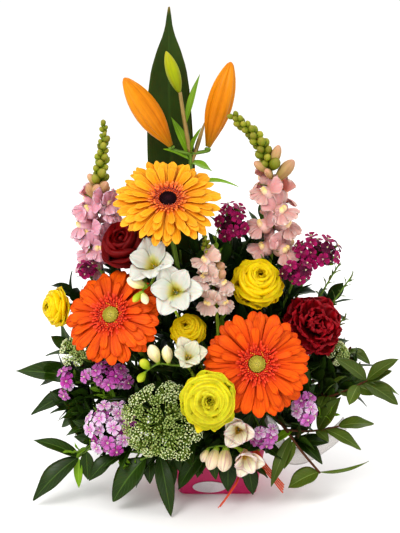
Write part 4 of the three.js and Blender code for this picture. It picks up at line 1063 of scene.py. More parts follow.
spireFinishes = {
    "lilacPink": petalFinish(
        "lilac pink petal", "0 d8b094, 0.3 cc8e96, 0.8 daa2ac, 1 eabcc6", "ba7482", 0.4, 7, edge="eec8d2",
        edgeAmount=0.4, back="c48296", soft=0.25),
    "salmonPink": petalFinish(
        "salmon pink petal", "0 ccae74, 0.3 c08c84, 0.8 cc9e96, 1 dcbcb2", "b87274", 0.4, 7, edge="eecfc4",
        edgeAmount=0.4, back="c4888a", soft=0.22),
    "palePink": petalFinish(
        "pale pink petal", "0 d2c696, 0.3 c69c90, 0.8 d2aea4, 1 dec8b8", "b8847a", 0.35, 7, edge="e8d6c8",
        edgeAmount=0.4, back="c8a494", soft=0.25),
    "palate": petalFinish("pale palate", "0 e6b8b0, 0.5 ecd0b0, 0.9 e8cf7a, 1 e0c050", "e2b0ac", 0.5, 5),
    "tanBud": petalFinish("tan bud", "0 6e802c, 0.3 a0904e, 0.7 b8946a, 1 c89884", "94684a", 0.5, 6),
    "greenBud": petalFinish(
        "snapdragon bud", "0 4c5a12, 0.55 7a841e, 1 9c9640", "86702e", 0.4, 4, vary=0.5, roughness=0.45),
}


def blossom(heap, lie, far, dice):
    mouth = place(lie, [far * 0.7, 0, 0])
    root = place(lie, [0.2, 0, 0])
    bud(heap, root, mouth + (mouth - root) * 0.06, far * 0.54, 16, 10, belly=0.6, pick=dice.uniform())
    face = lie @ moved(far * 0.52, 0, 0)
    for side in (-1, 1):  # upper lip: two lobes that stand up and turn back
        lobe = face @ moved(0, side * 0.05 * far, 0.1 * far) @ tipped(0.85) @ spinZ(side * 0.5)
        blade(heap, lobe, far * 0.66, far * 0.74, fanOutline, pitch=-0.2, bend=1.3 + dice.normal(0, 0.2),
              fold=-0.2, thick=0.45, rows=10, columns=12, ruffle=0.055 * far, cut=0.1, pick=dice.uniform())
    for turn in (-0.85, 0, 0.85):  # lower lip: three lobes that hang and spread
        lobe = face @ moved(0, 0, -0.08 * far) @ tipped(-0.65) @ spinZ(turn)
        blade(heap, lobe, far * 0.62, far * 0.58, fanOutline, pitch=0.25, bend=-1.3 + dice.normal(0, 0.2),
              fold=-0.2, thick=0.45, rows=10, columns=12, ruffle=0.05 * far, cut=0.1, pick=dice.uniform())
    for side in (-1, 1):  # the palate's two swellings close the throat
        low = place(face, [-0.04 * far, side * 0.075 * far, -0.12 * far])
        bud(heap, low, place(face, [0.25 * far, side * 0.06 * far, 0.03 * far]), far * 0.22, 12, 10, slot=1,
            belly=0.6, pick=dice.uniform(), point=0.6)
    for k in range(5):  # green cup
        base = lie @ spinX(k / 5 * tau)
        blade(heap, base, far * 0.26, far * 0.13, pitch=0.5, bend=-0.6, fold=0.3, thick=0.4, rows=5,
              columns=4, pick=dice.uniform(), slot=3)


def lineShares(points):
    line = smoothLine(points, 240 // (len(points) - 1))
    lengths = np.concatenate([[0], np.cumsum(norm(np.diff(line, axis=0), axis=1))])
    return line, lengths / lengths[-1]


def spire(name, spec):
    heap, dice = Heap(), diceFor(name)
    points = [seen(p) for p in spec["line"]]
    line, shares = lineShares(points)

    def on(s):
        return vec(*[np.interp(s, shares, line[:, k]) for k in range(3)])

    def outward(s, angle, tilt):
        ahead = on(min(1, s + 0.01)) - on(max(0, s - 0.01))
        return pose(on(s), ahead, angle) @ tipped(tilt)

    far = spec["reach"]
    full = far * 1.18
    spacing = spec["open"] / spec["blossoms"] * 0.9
    for i in range(spec["blossoms"]):
        blossom(heap, outward((i + 0.5) * spacing, i * golden - 1.4, 0.3), full, dice)
    for i in range(spec["blossoms"]):  # smaller blossoms between the first ones
        blossom(heap, outward((i + 0.9) * spacing, i * golden + 1.5, 0.4), full * 0.85, dice)
    for s, target in spec["towards"]:  # blossoms that face the way they do in the photograph
        blossom(heap, reach(on(s), seen(target)), far * spec["bold"] * dice.uniform(0.94, 1.06), dice)
    for s, target, wide in spec["tan"]:
        bud(heap, on(s), seen(target), wide, 14, 10, belly=0.62, slot=4, pick=dice.uniform(), point=0.55)
        bud(heap, on(s), on(s) + (seen(target) - on(s)) * 0.4, wide * 0.66, 10, 7, slot=2, point=0.5)
    count = 34 if far > 20 else 16
    for i in range(count):  # closed buds up to the tip
        share = i / (count - 1)
        s = spec["open"] + (0.985 - spec["open"]) * share
        long = far * (0.62 - 0.32 * share ** 0.8) * dice.uniform(0.8, 1.2)
        lie = outward(s, i * golden + 0.7, 0.7 + 0.3 * share)
        bud(heap, place(lie, [0.2, 0, 0]), place(lie, [long, 0, 0]), long * 0.66, 12, 8, belly=0.6,
            slot=4 if share < spec["tanShare"] else 5, pick=dice.uniform(), point=0.5)
    for i in range(spec["opening"]):  # long tan buds about to open
        lie = outward(spec["open"] * (0.9 + 0.06 * i), i * golden - 0.4, 0.75)
        bud(heap, place(lie, [0.2, 0, 0]), place(lie, [far * (0.82 - 0.08 * i), 0, 0]), far * 0.3, 12, 9,
            belly=0.66, slot=4, pick=dice.uniform(), point=0.5)
    for i in range(count * 2 // 3):  # little leaves under the buds
        s = spec["open"] + (0.92 - spec["open"]) * i / (count * 2 // 3)
        lie = outward(s, i * golden + 2.2, 0.5)
        blade(heap, lie, far * 0.46 * (1 - 0.5 * i / count), far * 0.15, bend=-0.4, fold=0.3, thick=0.4,
              rows=5, columns=4, pick=dice.uniform(), slot=3)
    for i in range(9):  # narrow leaves down the stalk
        lie = outward(0.02 + spec["open"] * i / 9, i * golden + 1.0, 0.6)
        blade(heap, lie, far * dice.uniform(0.7, 1.0), far * 0.17, bend=-0.5, fold=0.3, thick=0.4,
              rows=7, columns=4, pick=dice.uniform(), slot=3)
    heap.tube(line[::len(line) // 40], lambda s: 1.7 - 0.8 * s, 8, 2)
    growStem(heap, name, line[:1], unit(line[1] - line[0]), 1.7, 1.7, 2)
    finishes = [spireFinishes[spec["finish"]], spireFinishes["palate"], greens["budGreen"], greens["bract"],
                spireFinishes["tanBud"], spireFinishes["greenBud"]]
    standFor(heap, name, finishes)


for spireName, spireSpec in spires.items():
    spire(spireName, spireSpec)
print("snapdragons made,", faceTotal, "faces so far")

# Freesias: funnels of six petals, then buds, along a bent spike.
freesias = {
    "freesia_top": {
        "spike": [(170, 300, -62), (162, 285, -62), (151, 284, -66), (141, 292, -72)],
        "flowers": [{"at": (175, 291, -82), "turn": -4, "rise": 24, "radius": 25},
                    {"at": (152, 263, -66), "turn": -26, "rise": 44, "radius": 24}],
        "buds": [[(147, 287, -68), (127, 279, -76), 11], [(142, 292, -72), (147, 304, -80), 7.5],
                 [(141, 292, -72), (133, 302, -78), 6.5]],
        "finish": "white", "shut": 0.0},
    "freesia_middle": {
        "spike": [(186, 366, -70), (172, 365, -74), (158, 364, -78), (145, 372, -80)],
        "flowers": [{"at": (189, 355, -92), "turn": 10, "rise": 38, "radius": 19}],
        "buds": [[(169, 366, -76), (166, 346, -82), 8], [(158, 364, -78), (150, 345, -84), 9],
                 [(149, 369, -80), (141, 360, -86), 7], [(145, 372, -80), (138, 382, -84), 6]],
        "finish": "cream", "shut": 0.42, "plump": 1.36},
    "freesia_low": {
        "spike": [(243, 441, -78), (231, 446, -82), (218, 446, -84), (208, 448, -84)],
        "flowers": [{"at": (238, 431, -98), "turn": -6, "rise": 12, "radius": 20},
                    {"at": (246, 459, -98), "turn": 6, "rise": -16, "radius": 20}],
        "buds": [[(226, 447, -83), (223, 472, -94), 12.5], [(218, 446, -84), (209, 470, -94), 10.5],
                 [(208, 448, -84), (202, 462, -88), 7.2]],
        "finish": "mauve", "shut": 0.62, "bud": "mauveBud", "plump": 1.3},
}
freesiaFinishes = {
    "white": petalFinish(
        "white petal", "0 8a8410, 0.25 b0a428, 0.4 ccc482, 0.54 c8c5b9, 1 d0cdc4", "b2ae9f", 0.35, 8,
        back="d4d0c2", backAmount=0.5, soft=0.25, vary=0.1),
    "cream": petalFinish(
        "cream petal", "0 8a8410, 0.22 b8a428, 0.34 d0c680, 0.46 cfc8ad, 1 d6d0ba", "b8b094", 0.35, 8,
        back="d8d0b2", backAmount=0.5, soft=0.25, vary=0.1),
    "mauve": petalFinish(
        "mauve flushed petal", "0 d8a808, 0.3 e2b838, 0.44 e6d9ae, 1 ebe4d3", "b27690", 0.55, 5,
        back="dab2b4", backAmount=0.5, edge="d29aac", edgeAmount=0.3, soft=0.22, vary=0.1),
    "bud": petalFinish(
        "cream bud", "0 a8b02a, 0.25 d8d468, 0.6 f0eab4, 1 f6efd0", "d0a0a0", 0.4, 7, soft=0.2),
    "mauveBud": petalFinish(
        "mauve bud", "0 98a030, 0.24 cfc27a, 0.6 e6d4b4, 1 ebdfc2", "aa607e", 0.75, 4, soft=0.2),
    "greenBud": petalFinish("green bud", "0 7f9a1c, 0.6 a8b428, 1 ccc850", "8aa020", 0.3, 5),
    "anther": petalFinish("anther", "0 e8d060, 1 f0c020", "d0a010", 0.3, 3, roughness=0.7),
}


# Half-width of a freesia's petal: narrow in the tube, broad and round at the lip.
def roundOutline(s):
    return np.minimum(1, 0.14 + 1.25 * s) * np.minimum(1, (1.03 - s) / 0.36) ** 0.55


def funnel(heap, mouth, r, shut, dice):
    heap.turn([(1.0, -15.5), (1.7, -14.5), (2.0, -12.5), (1.4, -11.5), (0.3, -11.4)], mouth, 14, 0)
    for k in range(6):
        inner = k % 2
        lie = mouth @ spinZ(k / 6 * tau + dice.normal(0, 0.05)) @ moved(1.0 + 0.5 * (1 - inner), 0, -13.5)
        pitch = 1.42 - 0.1 * (1 - inner) + 0.12 * shut
        bend = -(1.25 - 0.1 * inner) * (1 - 0.62 * shut) + dice.normal(0, 0.08)
        blade(heap, lie, r * (1.42 - 0.1 * inner), r * (0.98 - 0.06 * inner), roundOutline, pitch=pitch,
              bend=bend, fold=0.34, thick=0.45, rows=18, columns=14, ruffle=0.045 * r, wave=0.04 * r,
              waves=1.4, cut=0.03, pick=dice.uniform())
    for k in range(3):
        a = k / 3 * tau + 0.5
        heap.tube([place(mouth, [0, 0, -12]), place(mouth, [1.6 * cos(a), 1.6 * sin(a), -6])], 0.3, 5, 0)
        bud(heap, place(mouth, [1.6 * cos(a), 1.6 * sin(a), -7]),
            place(mouth, [2.5 * cos(a), 2.5 * sin(a), -2.5]), 1.0, 6, 6, slot=3, pick=dice.uniform())


def freesia(name, spec):
    heap, dice = Heap(), diceFor(name)
    line = [seen(p) for p in spec["spike"]]
    for flower in spec["flowers"]:
        at = seen(flower["at"])
        mouth = pose(at, aim(flower["turn"], flower["rise"]))
        root = min(line, key=lambda p: norm(p - at))
        back = place(mouth, [0, 0, -14])
        funnel(heap, mouth, flower["radius"], spec["shut"], dice)
        heap.tube(smoothLine([root, (root + back) / 2, back], 4), 1.4, 8, 1)
        bud(heap, root + (back - root) * 0.4, place(mouth, [0, 0, -9]), 4.6, 9, 7, slot=1,
            pick=dice.uniform())
    for start, tip, wide in spec["buds"]:
        base = nearestOn([line], seen(start))
        bud(heap, base, seen(tip), wide * spec.get("plump", 1.08), 18, 14, belly=0.6, ridges=6, depth=0.07,
            slot=2 if wide > 7 else 4, pick=dice.uniform(), point=0.62)
        cup = base + (seen(tip) - base) * 0.3
        bud(heap, base - (cup - base) * 0.1, cup, wide * 0.62, 9, 6, belly=0.55, slot=1,
            pick=dice.uniform(), point=0.5)
    heap.tube(smoothLine(line, 6), lambda s: 1.4 - 0.5 * s, 8, 5)
    arrive = unit(unit(line[1] - line[0]) + vec(0, -0.4, 0.6))
    growStem(heap, name, line[:1], arrive, 1.6, 1.5, 1)
    budFinish = freesiaFinishes[spec.get("bud", "bud")]
    finishes = [freesiaFinishes[spec["finish"]], greens["budGreen"], budFinish, freesiaFinishes["anther"],
                freesiaFinishes["greenBud"], greens["stem"]]
    standFor(heap, name, finishes)


for freesiaName, freesiaSpec in freesias.items():
    freesia(freesiaName, freesiaSpec)
print("freesias made,", faceTotal, "faces so far")


# One leaf's values: both ends as across, down and depth, the width, and those that aren't the usual ones.
def leaf(start, tip, wide, **more):
    return {"from": start, "to": tip, "wide": wide, **more}


# The lily: its stem with a small green bud and narrow leaves, and two orange buds.
lily = {
    "stem": [(192, 230, 14), (191, 190, 16), (190, 152, 18), (184, 118, 18), (180, 92, 18)],
    "greenBud": {"from": (180, 94, 18), "to": (166, 51, 18), "wide": 13.5},
    "buds": {
        "lily_bud_left": {"from": (171, 146, 12), "to": (124, 78, 2), "wide": 26},
        "lily_bud_right": {"from": (208, 147, 20), "to": (231, 62, 22), "wide": 25}},
    "leaves": [
        leaf((189, 160, 18), (163, 149, 8), 9), leaf((190, 162, 18), (212, 171, 20), 12),
        leaf((186, 125, 18), (200, 74, 24), 7), leaf((190, 158, 18), (171, 117, 30), 10),
        leaf((191, 186, 16), (239, 187, -2), 7, bow=1.1),
        leaf((190, 155, 18), (201, 128, 10), 7),
    ],
}
lilyFinishes = {
    "orange": petalFinish(
        "orange bud", "0 6e6a16, 0.12 9c6a10, 0.32 c47404, 0.8 d48406, 1 bc6202", "985002", 0.55, 7,
        edge="e29a26", edgeAmount=0.3, roughness=0.38, soft=0.1, relief=0.45),
    "green": petalFinish(
        "green bud skin", "0 768210, 0.5 969e0a, 1 b2a81c", "788610", 0.45, 5, roughness=0.34),
    "tanStem": stemFinish("tan stem", "7a6434", "a68e58"),
}


def lilyOutline(s):  # slim at the stalk, full above the middle, with a blunt tip
    return np.interp(s, (0, 0.06, 0.15, 0.26, 0.38, 0.5, 0.62, 0.73, 0.83, 0.91, 0.97, 1),
                     (0.2, 0.32, 0.52, 0.76, 0.94, 1, 0.97, 0.86, 0.68, 0.47, 0.28, 0.08))


def tallOutline(s):  # the tall leaf: parallel sides that draw in to a long drip tip
    return np.interp(s, (0, 0.1, 0.3, 0.5, 0.62, 0.72, 0.79, 0.85, 0.9, 0.93, 0.96, 1),
                     (0.55, 0.8, 1.02, 1.03, 0.98, 0.9, 0.77, 0.53, 0.27, 0.16, 0.11, 0.03))


# A leaf that lies where the frame's own leaf does, from the nearest stem to the tip that the spec gives.
def leafFrom(heap, node, spec, lines, slot, dice, outline=leafOutline, rows=16, columns=10, belly=0.0):
    way = leafWay(node, spec, lines)
    if way is None:
        return
    lie, length = way
    bow = spec.get("bow", 0.5)
    blade(heap, lie, length, spec["wide"], outline, pitch=bow / 2, bend=-bow,
          fold=spec.get("fold", 0.25) * 0.7, crease=0.1, thick=0.55, rows=rows, columns=columns,
          belly=belly, wave=0.03 * spec["wide"], waves=dice.uniform(1.2, 2.2), pick=dice.uniform(),
          slot=slot)


def lilyStem():
    heap = Heap()
    dice = diceFor("lily")
    line = [seen(p) for p in lily["stem"]]
    for budName, spec in lily["buds"].items():
        base, tip = seen(spec["from"]), seen(spec["to"])
        budHeap = Heap()
        bud(budHeap, base, tip, spec["wide"] * 1.04, 60, 32, ridges=6, depth=0.17, pick=0.5,
            outline=lilyOutline)
        standFor(budHeap, budName, [lilyFinishes["orange"]])
        back = base + unit(base - tip) * 0.65
        fork = line[2] + (line[1] - line[2]) * 0.05
        heap.tube(smoothLine([fork, back - vec(0, 0, 3), back], 8), 1.9, 10, 0)
        bud(heap, back - unit(tip - back) * 3, back + unit(tip - back) * 0.3, 6.5, 10, 7, slot=0, point=0.5)
    green = lily["greenBud"]
    bud(heap, seen(green["from"]), seen(green["to"]), green["wide"], 24, 18, belly=0.5, ridges=6, depth=0.1,
        slot=2, point=0.7)
    for spec in lily["leaves"]:
        leafFrom(heap, "lily_stem", spec, [line], 1, dice)
    heap.tube(smoothLine(line, 8), lambda s: 2.2 - 0.5 * s, 12, 0)
    heap.tube(smoothLine(line[2:], 8), lambda s: 2.3 - 0.5 * s, 12, 3)
    bud(heap, nearestOn([line], seen((195, 168, 16))), seen((205, 121, 22)), 4.6, 10, 9, slot=3, point=0.7)
    growStem(heap, "lily_stem", line[:1], unit(line[1] - line[0]), 2.2, 2.2)
    finishes = [greens["stem"], greens["leafLight"], lilyFinishes["green"], lilyFinishes["tanStem"]]
    standFor(heap, "lily_stem", finishes)


lilyStem()
print("lily made,", faceTotal, "faces so far")

# Foliage: each spray's stem runs on from the foam, forks branch off it, and leaves grow from both.
foliage = {
    "tall_leaf": {
        "stem": [(186, 318, 28), (180, 250, 32)],
        "leaves": [leaf((184, 300, 29), (169, 5, 45), 46, bow=-0.25, fold=0.3, rings=7, up=(0, -1, 0.1),
                        solidOutline=spearOutline)],
        "blade": {"outline": tallOutline, "rows": 44, "columns": 16, "belly": 6}},
    "foliage_left_top": {
        "stem": [(104, 388, -6), (90, 383, -4), (70, 396, -4)],
        "leaves": [leaf((92, 384, -4), (15, 371, -8), 30),
                   leaf((82, 390, -4), (31, 415, -14), 20),
                   leaf((70, 396, -4), (84, 443, -26), 22)]},
    "foliage_left_low": {
        "stem": [(104, 436, -46), (91, 447, -54), (77, 458, -58)],
        "leaves": [leaf((79, 456, -58), (33, 440, -52), 16),
                   leaf((78, 457, -58), (33, 501, -72), 24),
                   leaf((77, 458, -58), (79, 488, -66), 9, young=True),
                   leaf((86, 451, -56), (88, 480, -62), 14)]},
    "foliage_front_left": {
        "stem": [(176, 436, -58), (160, 452, -70), (140, 460, -74)],
        "forks": [[(160, 452, -70), (128, 452, -66), (114, 455, -66)]],
        "leaves": [leaf((115, 455, -66), (89, 481, -74), 18),
                   leaf((146, 459, -74), (113, 502, -84), 29),
                   leaf((160, 453, -70), (171, 517, -98), 18),
                   leaf((168, 446, -64), (171, 494, -68), 16)],
        "more": [((176, 438, -60), (187, 480, -74), 17), ((178, 438, -60), (203, 474, -76), 16),
                 ((158, 452, -70), (136, 488, -86), 17), ((150, 456, -72), (150, 484, -84), 13),
                 ((128, 452, -66), (103, 468, -76), 15), ((170, 444, -62), (157, 478, -80), 14)]},
    "foliage_front_right": {
        "stem": [(222, 436, -58), (226, 450, -66)],
        "forks": [[(222, 436, -58), (206, 447, -68)], [(226, 450, -66), (248, 462, -66)]],
        "leaves": [leaf((206, 448, -68), (178, 490, -78), 20),
                   leaf((228, 451, -66), (228, 492, -78), 19),
                   leaf((247, 462, -66), (253, 495, -72), 16)],
        "more": [((207, 447, -68), (197, 478, -78), 15), ((212, 444, -64), (216, 480, -80), 15),
                 ((226, 450, -66), (241, 478, -76), 14), ((222, 440, -60), (200, 462, -78), 13),
                 ((238, 457, -66), (246, 482, -80), 13), ((246, 461, -66), (268, 478, -72), 13)]},
    "foliage_right_top": {
        "stem": [(318, 378, -12), (335, 364, -4), (351, 347, -2)],
        "forks": [[(318, 378, -12), (324, 396, -36), (345, 391, -50), (368, 380, -58)]],
        "leaves": [leaf((349, 349, -2), (370, 364, -10), 14),
                   leaf((338, 364, -4), (308, 374, -14), 13),
                   leaf((367, 380, -58), (399, 359, -62), 17),
                   leaf((368, 380, -58), (399, 395, -50), 10),
                   leaf((363, 382, -56), (398, 405, -72), 21),
                   leaf((366, 380, -58), (335, 358, -46), 17),
                   leaf((352, 373, -52), (349, 405, -62), 14),
                   leaf((322, 393, -38), (318, 410, -56), 11)],
        "more": [((366, 380, -58), (392, 371, -62), 13), ((356, 384, -52), (376, 394, -60), 15),
                 ((340, 390, -46), (352, 398, -60), 15), ((330, 394, -40), (332, 414, -54), 14),
                 ((324, 394, -36), (346, 376, -48), 15), ((330, 370, -8), (322, 388, -28), 15),
                 ((344, 356, -3), (362, 352, -14), 12)]},
    "foliage_right_low": {
        "stem": [(286, 430, -56), (303, 453, -66), (320, 473, -66)],
        "forks": [[(286, 430, -56), (312, 431, -52), (340, 426, -48)]],
        "leaves": [leaf((319, 472, -62), (288, 488, -70), 22),
                   leaf((320, 472, -62), (369, 461, -46), 5, bow=-0.9),
                   leaf((324, 429, -49), (361, 450, -56), 16),
                   leaf((340, 426, -48), (374, 424, -42), 17),
                   leaf((318, 430, -49), (341, 397, -52), 20),
                   leaf((316, 431, -50), (329, 442, -62), 11),
                   leaf((292, 434, -54), (258, 451, -68), 12, young=True),
                   leaf((292, 436, -55), (271, 487, -80), 13),
                   leaf((296, 440, -57), (284, 469, -74), 11)]},
}
filling = {
    "foliage_inner_left": {
        "stem": [(128, 335, -8), (120, 316, -8)], "rows": [[0.95, 22, [-96, -70, -44]]], "long": 58,
        "wide": 25},
    "foliage_inner_right": {
        "stem": [(236, 330, -4), (238, 306, -4)], "rows": [[0.95, 20, [20, 60, 95]]], "long": 56,
        "wide": 24},
    "foliage_back_left": {
        "stem": [(165, 350, 48), (160, 300, 54)], "rows": [[0.95, 18, [-160, -118, 165]],
            [0.4, -6, [-150, -104, -66]]], "long": 66, "wide": 27},
    "foliage_back_right": {
        "stem": [(250, 350, 50), (256, 305, 56)], "rows": [[0.95, 18, [150, 104, -172]],
            [0.4, -6, [150, 108, 66]]], "long": 66, "wide": 27},
}
# The inner fillings wear the shaded leaf, whose darker green is painted shade.
leafKinds = {"tall_leaf": "tallLeaf", "foliage_right_top": "leafOlive", "foliage_right_low": "leafOlive",
             "foliage_inner_left": "leafPaintedShade", "foliage_inner_right": "leafPaintedShade"}


def spray(name, spec):
    heap, dice = Heap(), diceFor(name)
    line = [seen(p) for p in spec["stem"]]
    branches = [[seen(p) for p in fork] for fork in spec.get("forks", [])]
    coarse = growStem(heap, name, line, unit(line[1] - line[0]), 1.7, lambda s: 1.8 - 0.7 * s)
    for branch in branches:
        heap.tube(smoothLine(branch, 8), lambda s: 1.4 - 0.6 * s, 8, 0)
    lines = [coarse, *branches]
    for leafSpec in spec["leaves"]:
        slot = 2 if leafSpec.get("young") else 1
        leafFrom(heap, name, leafSpec, lines, slot, dice, **spec.get("blade", {}))
    for start, tip, wide in spec.get("more", []):  # leaves that the frame doesn't have
        base, tip = nearestOn(lines, seen(start)), seen(tip)
        blade(heap, reach(base, tip, roll=dice.normal(0, 0.3)), bowed(base, tip, 0.5), wide, pitch=0.25,
              bend=-0.5, fold=0.16, crease=0.1, thick=0.55, rows=14, columns=10, wave=0.5,
              pick=dice.uniform(), slot=1)
    bark = greens["twig"] if "right" in name else greens["stem"]
    finishes = [bark, greens[leafKinds.get(name, "leaf")], greens["leafLight"]]
    standFor(heap, name, finishes)


def fillingTip(node, base, way, rise, long):
    best = None
    for turn in (0, 12, -12, 24, -24, 36, -36):
        for lift in (0, 14, -14, 28, -28, 44):
            tip = base + aim(way + turn, rise + lift) * long
            miss = gapTo(node, tip)
            if best is None or miss < best[0] - 1e-4:
                best = (miss, tip)
    if best[0] > 0.5:
        print("filling leaf of", node, way, "has no match:", round(best[0], 2))
    return best[1]


def fill(name, spec):
    heap, dice = Heap(), diceFor(name)
    line = [seen(p) for p in spec["stem"]]
    coarse = growStem(heap, name, line, unit(line[1] - line[0]), 1.7, 1.7)
    for row, (share, rise, ways) in enumerate(spec["rows"]):
        for i, way in enumerate(ways):
            base = nearestOn([coarse], coarse[0] + (coarse[-1] - coarse[0]) * (share - 0.05 * i))
            long = spec["long"] * (1 + 0.12 * sin(i * 2.6 + row))
            tip = fillingTip(name, base, way, rise, long)
            lie = reach(base, tip, (0, 0, 1))
            blade(heap, lie, bowed(base, tip, 0.7), spec["wide"], pitch=0.35, bend=-0.7, fold=0.18,
                  crease=0.1, thick=0.55, rows=16, columns=10, wave=0.03 * spec["wide"], waves=1.7,
                  pick=dice.uniform(), slot=1)
    standFor(heap, name, [greens["stem"], greens[leafKinds.get(name, "leaf")]])


for sprayName, spraySpec in foliage.items():
    spray(sprayName, spraySpec)
for fillName, fillSpec in filling.items():
    fill(fillName, fillSpec)
print("foliage made,", faceTotal, "faces so far")

# Short leafy sprigs that close the gaps between the blooms. Heads are given as across, down and depth.
greenery = {
    "greenery_middle": {
        # The middle sprigs wear the shaded leaf: its darker green is painted shade in the gaps between the
        # blooms.
        "kind": "leafPaintedShade", "leaves": 8, "long": (26, 42), "share": 0.42,
        "heads": [(150, 252, 10), (198, 262, 4), (222, 276, 2), (242, 262, 8), (274, 262, 6),
                  (252, 240, 18), (298, 264, 12), (185, 292, -4), (95, 264, 6), (72, 292, 10),
                  (84, 330, 4), (135, 332, -14), (165, 256, -8), (181, 274, -12), (201, 296, -16),
                  (140, 312, -22), (190, 346, -30), (152, 350, -20), (170, 318, -12), (206, 320, -14),
                  (233, 300, -4), (216, 346, -30), (240, 326, -16), (290, 300, 0), (300, 330, -2),
                  (328, 300, 10), (262, 300, 2), (120, 300, 0), (226, 302, -12), (240, 254, -2),
                  (271, 314, -8), (168, 332, -24), (112, 268, -6), (206, 318, -20), (248, 312, -10),
                  (284, 318, -6), (222, 256, -4), (196, 250, -4)]},
    "greenery_low": {
        "kind": "leaf", "leaves": 7, "long": (28, 46), "share": 0.44,
        "heads": [(80, 396, -10), (108, 398, -22), (130, 400, -34), (118, 386, -20), (150, 410, -48),
                  (172, 404, -48), (140, 428, -50), (168, 430, -56), (188, 414, -54), (72, 350, 4),
                  (64, 372, 4), (94, 372, -12), (122, 374, -24), (152, 388, -38), (182, 380, -44),
                  (72, 408, -16), (96, 428, -32), (130, 432, -44), (186, 442, -58), (158, 452, -60),
                  (206, 450, -60), (234, 450, -58), (258, 444, -54), (282, 424, -48), (300, 400, -42),
                  (320, 398, -28), (334, 378, -8), (300, 442, -50), (322, 352, 4), (300, 372, -18),
                  (216, 430, -56), (190, 376, -50), (318, 372, -16), (342, 388, -28), (348, 368, -10),
                  (84, 414, -22), (100, 440, -44), (112, 446, -52), (76, 402, -12), (128, 446, -56)]},
    "greenery_narrow": {
        "kind": "leafOlive", "leaves": 12, "long": (8, 13), "share": 0.26,
        "heads": [(351, 277, -6), (338, 266, -8), (100, 270, -24), (90, 277, -24), (84, 268, -20),
                  (344, 318, -8)]},
    "greenery_young": {
        "kind": "leafLight", "leaves": 6, "long": (10, 17), "share": 0.4,
        "heads": [(72, 452, -62), (96, 388, -36), (104, 396, -40), (127, 380, -44), (66, 300, -10),
                  (216, 236, -24), (330, 416, -54), (222, 312, -46), (126, 466, -76), (262, 262, -22)]},
}
# The back isn't in the photograph, so these heads are plain X, Y and Z.
greeneryBack = {"kind": "leaf", "leaves": 8, "long": (32, 46), "share": 0.42, "heads": [
    (-78, 46, 92), (-36, 60, 84), (6, 64, 78), (46, 60, 86), (84, 44, 96), (-104, 30, 150), (-56, 58, 140),
    (-6, 66, 132), (52, 58, 142), (100, 34, 156), (-74, 40, 206), (-30, 66, 190), (30, 62, 200),
    (78, 42, 212), (-78, 44, 244), (12, 52, 252), (46, 44, 266), (-122, 8, 118), (122, 12, 122),
    (-52, 58, 104), (22, 66, 106), (64, 54, 112), (-20, 64, 110), (0, 60, 168), (-84, 44, 124),
    (84, 44, 126)]}


def sprig(heap, head, spec, dice):
    out = unit(head - hub)
    line = np.array(route([head], out, 0, 0, 0.25)[1])
    heap.tube(line, lambda s: 1.5 - 0.7 * s, 6, 0, pick=dice.uniform())
    start = dice.uniform(0, tau)
    for i in range(spec["leaves"]):
        share = 1 - 0.3 * (i / spec["leaves"])
        at = share * (len(line) - 1)
        base = vec(*[np.interp(at, np.arange(len(line)), line[:, k]) for k in range(3)])
        lean = 0.45 + 0.65 * i / spec["leaves"] + dice.normal(0, 0.08)
        around = pose(base, out, start + i * golden)
        way = turnTo(around, [sin(lean), 0, cos(lean)])
        long = dice.uniform(*spec["long"]) * (0.75 + 0.35 * i / spec["leaves"])
        lie = reach(base - way * 0.5, base + way * long, turnTo(around, [-cos(lean), 0, sin(lean)]))
        blade(heap, lie @ spinX(dice.normal(0, 0.25)), long, long * spec["share"], pitch=0.25,
              bend=-0.6 + dice.normal(0, 0.15), fold=0.16, crease=0.12, thick=0.5, rows=12, columns=8,
              wave=0.4, waves=1.6, twist=dice.normal(0, 0.2), pick=dice.uniform(), slot=1)


def bushOf(name, heads, spec):
    global faceTotal
    heap, dice = Heap(), diceFor(name)
    for head in heads:
        sprig(heap, head, spec, dice)
    piece = heap.build(name, [greens["stem"], greens[spec["kind"]]])
    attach(piece, "root")
    faceTotal += len(piece.data.polygons)


for bushName, bushSpec in greenery.items():
    bushOf(bushName, [seen(p) for p in bushSpec["heads"]], bushSpec)
bushOf("greenery_back", [vec(*p) for p in greeneryBack["heads"]], greeneryBack)
print("greenery made,", faceTotal, "faces so far")

# The card box with its tray, seal, foam, ribbon and raffia.
box = {"base": 78, "top": 98, "high": 62, "wall": 1.8, "corner": 7, "card": "be1a5c", "shade": "cc2e6e"}
seal = {"across": 34, "down": 13, "x": -8.5, "z": 8.6}
trims = {
    "ribbon_loop": {
        "width": 22, "thick": 0.5, "across": (0, 0.35, 1), "slot": "sheer_ribbon", "line": [(33, -33, 75),
            (47, -51, 77), (60, -55, 56), (78, -52, 46), (98, -47, 50), (116, -38, 62), (128, -28, 72)]},
    "raffia_wide": {
        "width": 6, "thick": 0.6, "across": (1, 0, 0.3), "slot": "orange_raffia", "strips": 4,
        "line": [(25, -33, 70), (28, -53, 70), (34, -60, 60), (45, -66, 42), (57, -70, 28),
            (66, -71, 17)]},
    "raffia_thin": {
        "width": 1.8, "thick": 0.6, "across": (1, 0, 0.3), "slot": "orange_raffia", "strips": 2,
        "line": [(12, -33, 68), (14, -53, 69), (21, -60, 57), (22, -65, 44), (19, -75, 30), (10, -87, 20),
            (0, -97, 10)]},
}
madeFinishes = {
    "card": madeFinish(
        "magenta card", box["card"], box["shade"], 900.0, 0.4, 0.12, Coat_Weight=0.3, Coat_Roughness=0.3),
    "tray": madeFinish("clear tray", "c9d4cf", "b8c6bf", 300.0, 0.2, 0.05, Transmission_Weight=0.5),
    "foil": madeFinish("silver foil", "cfc8ca", "e4dfe1", 1400.0, 0.38, 0.2, Metallic=0.3),
    "foam": madeFinish("wet foam", "1d4a2a", "2f6a3c", 1600.0, 0.85, 0.8),
    "raffia_wide": madeFinish("orange raffia", "be3004", "e4580a", 260.0, 0.5, 0.7, (14, 14, 1)),
}
madeFinishes["raffia_thin"] = madeFinishes["raffia_wide"]


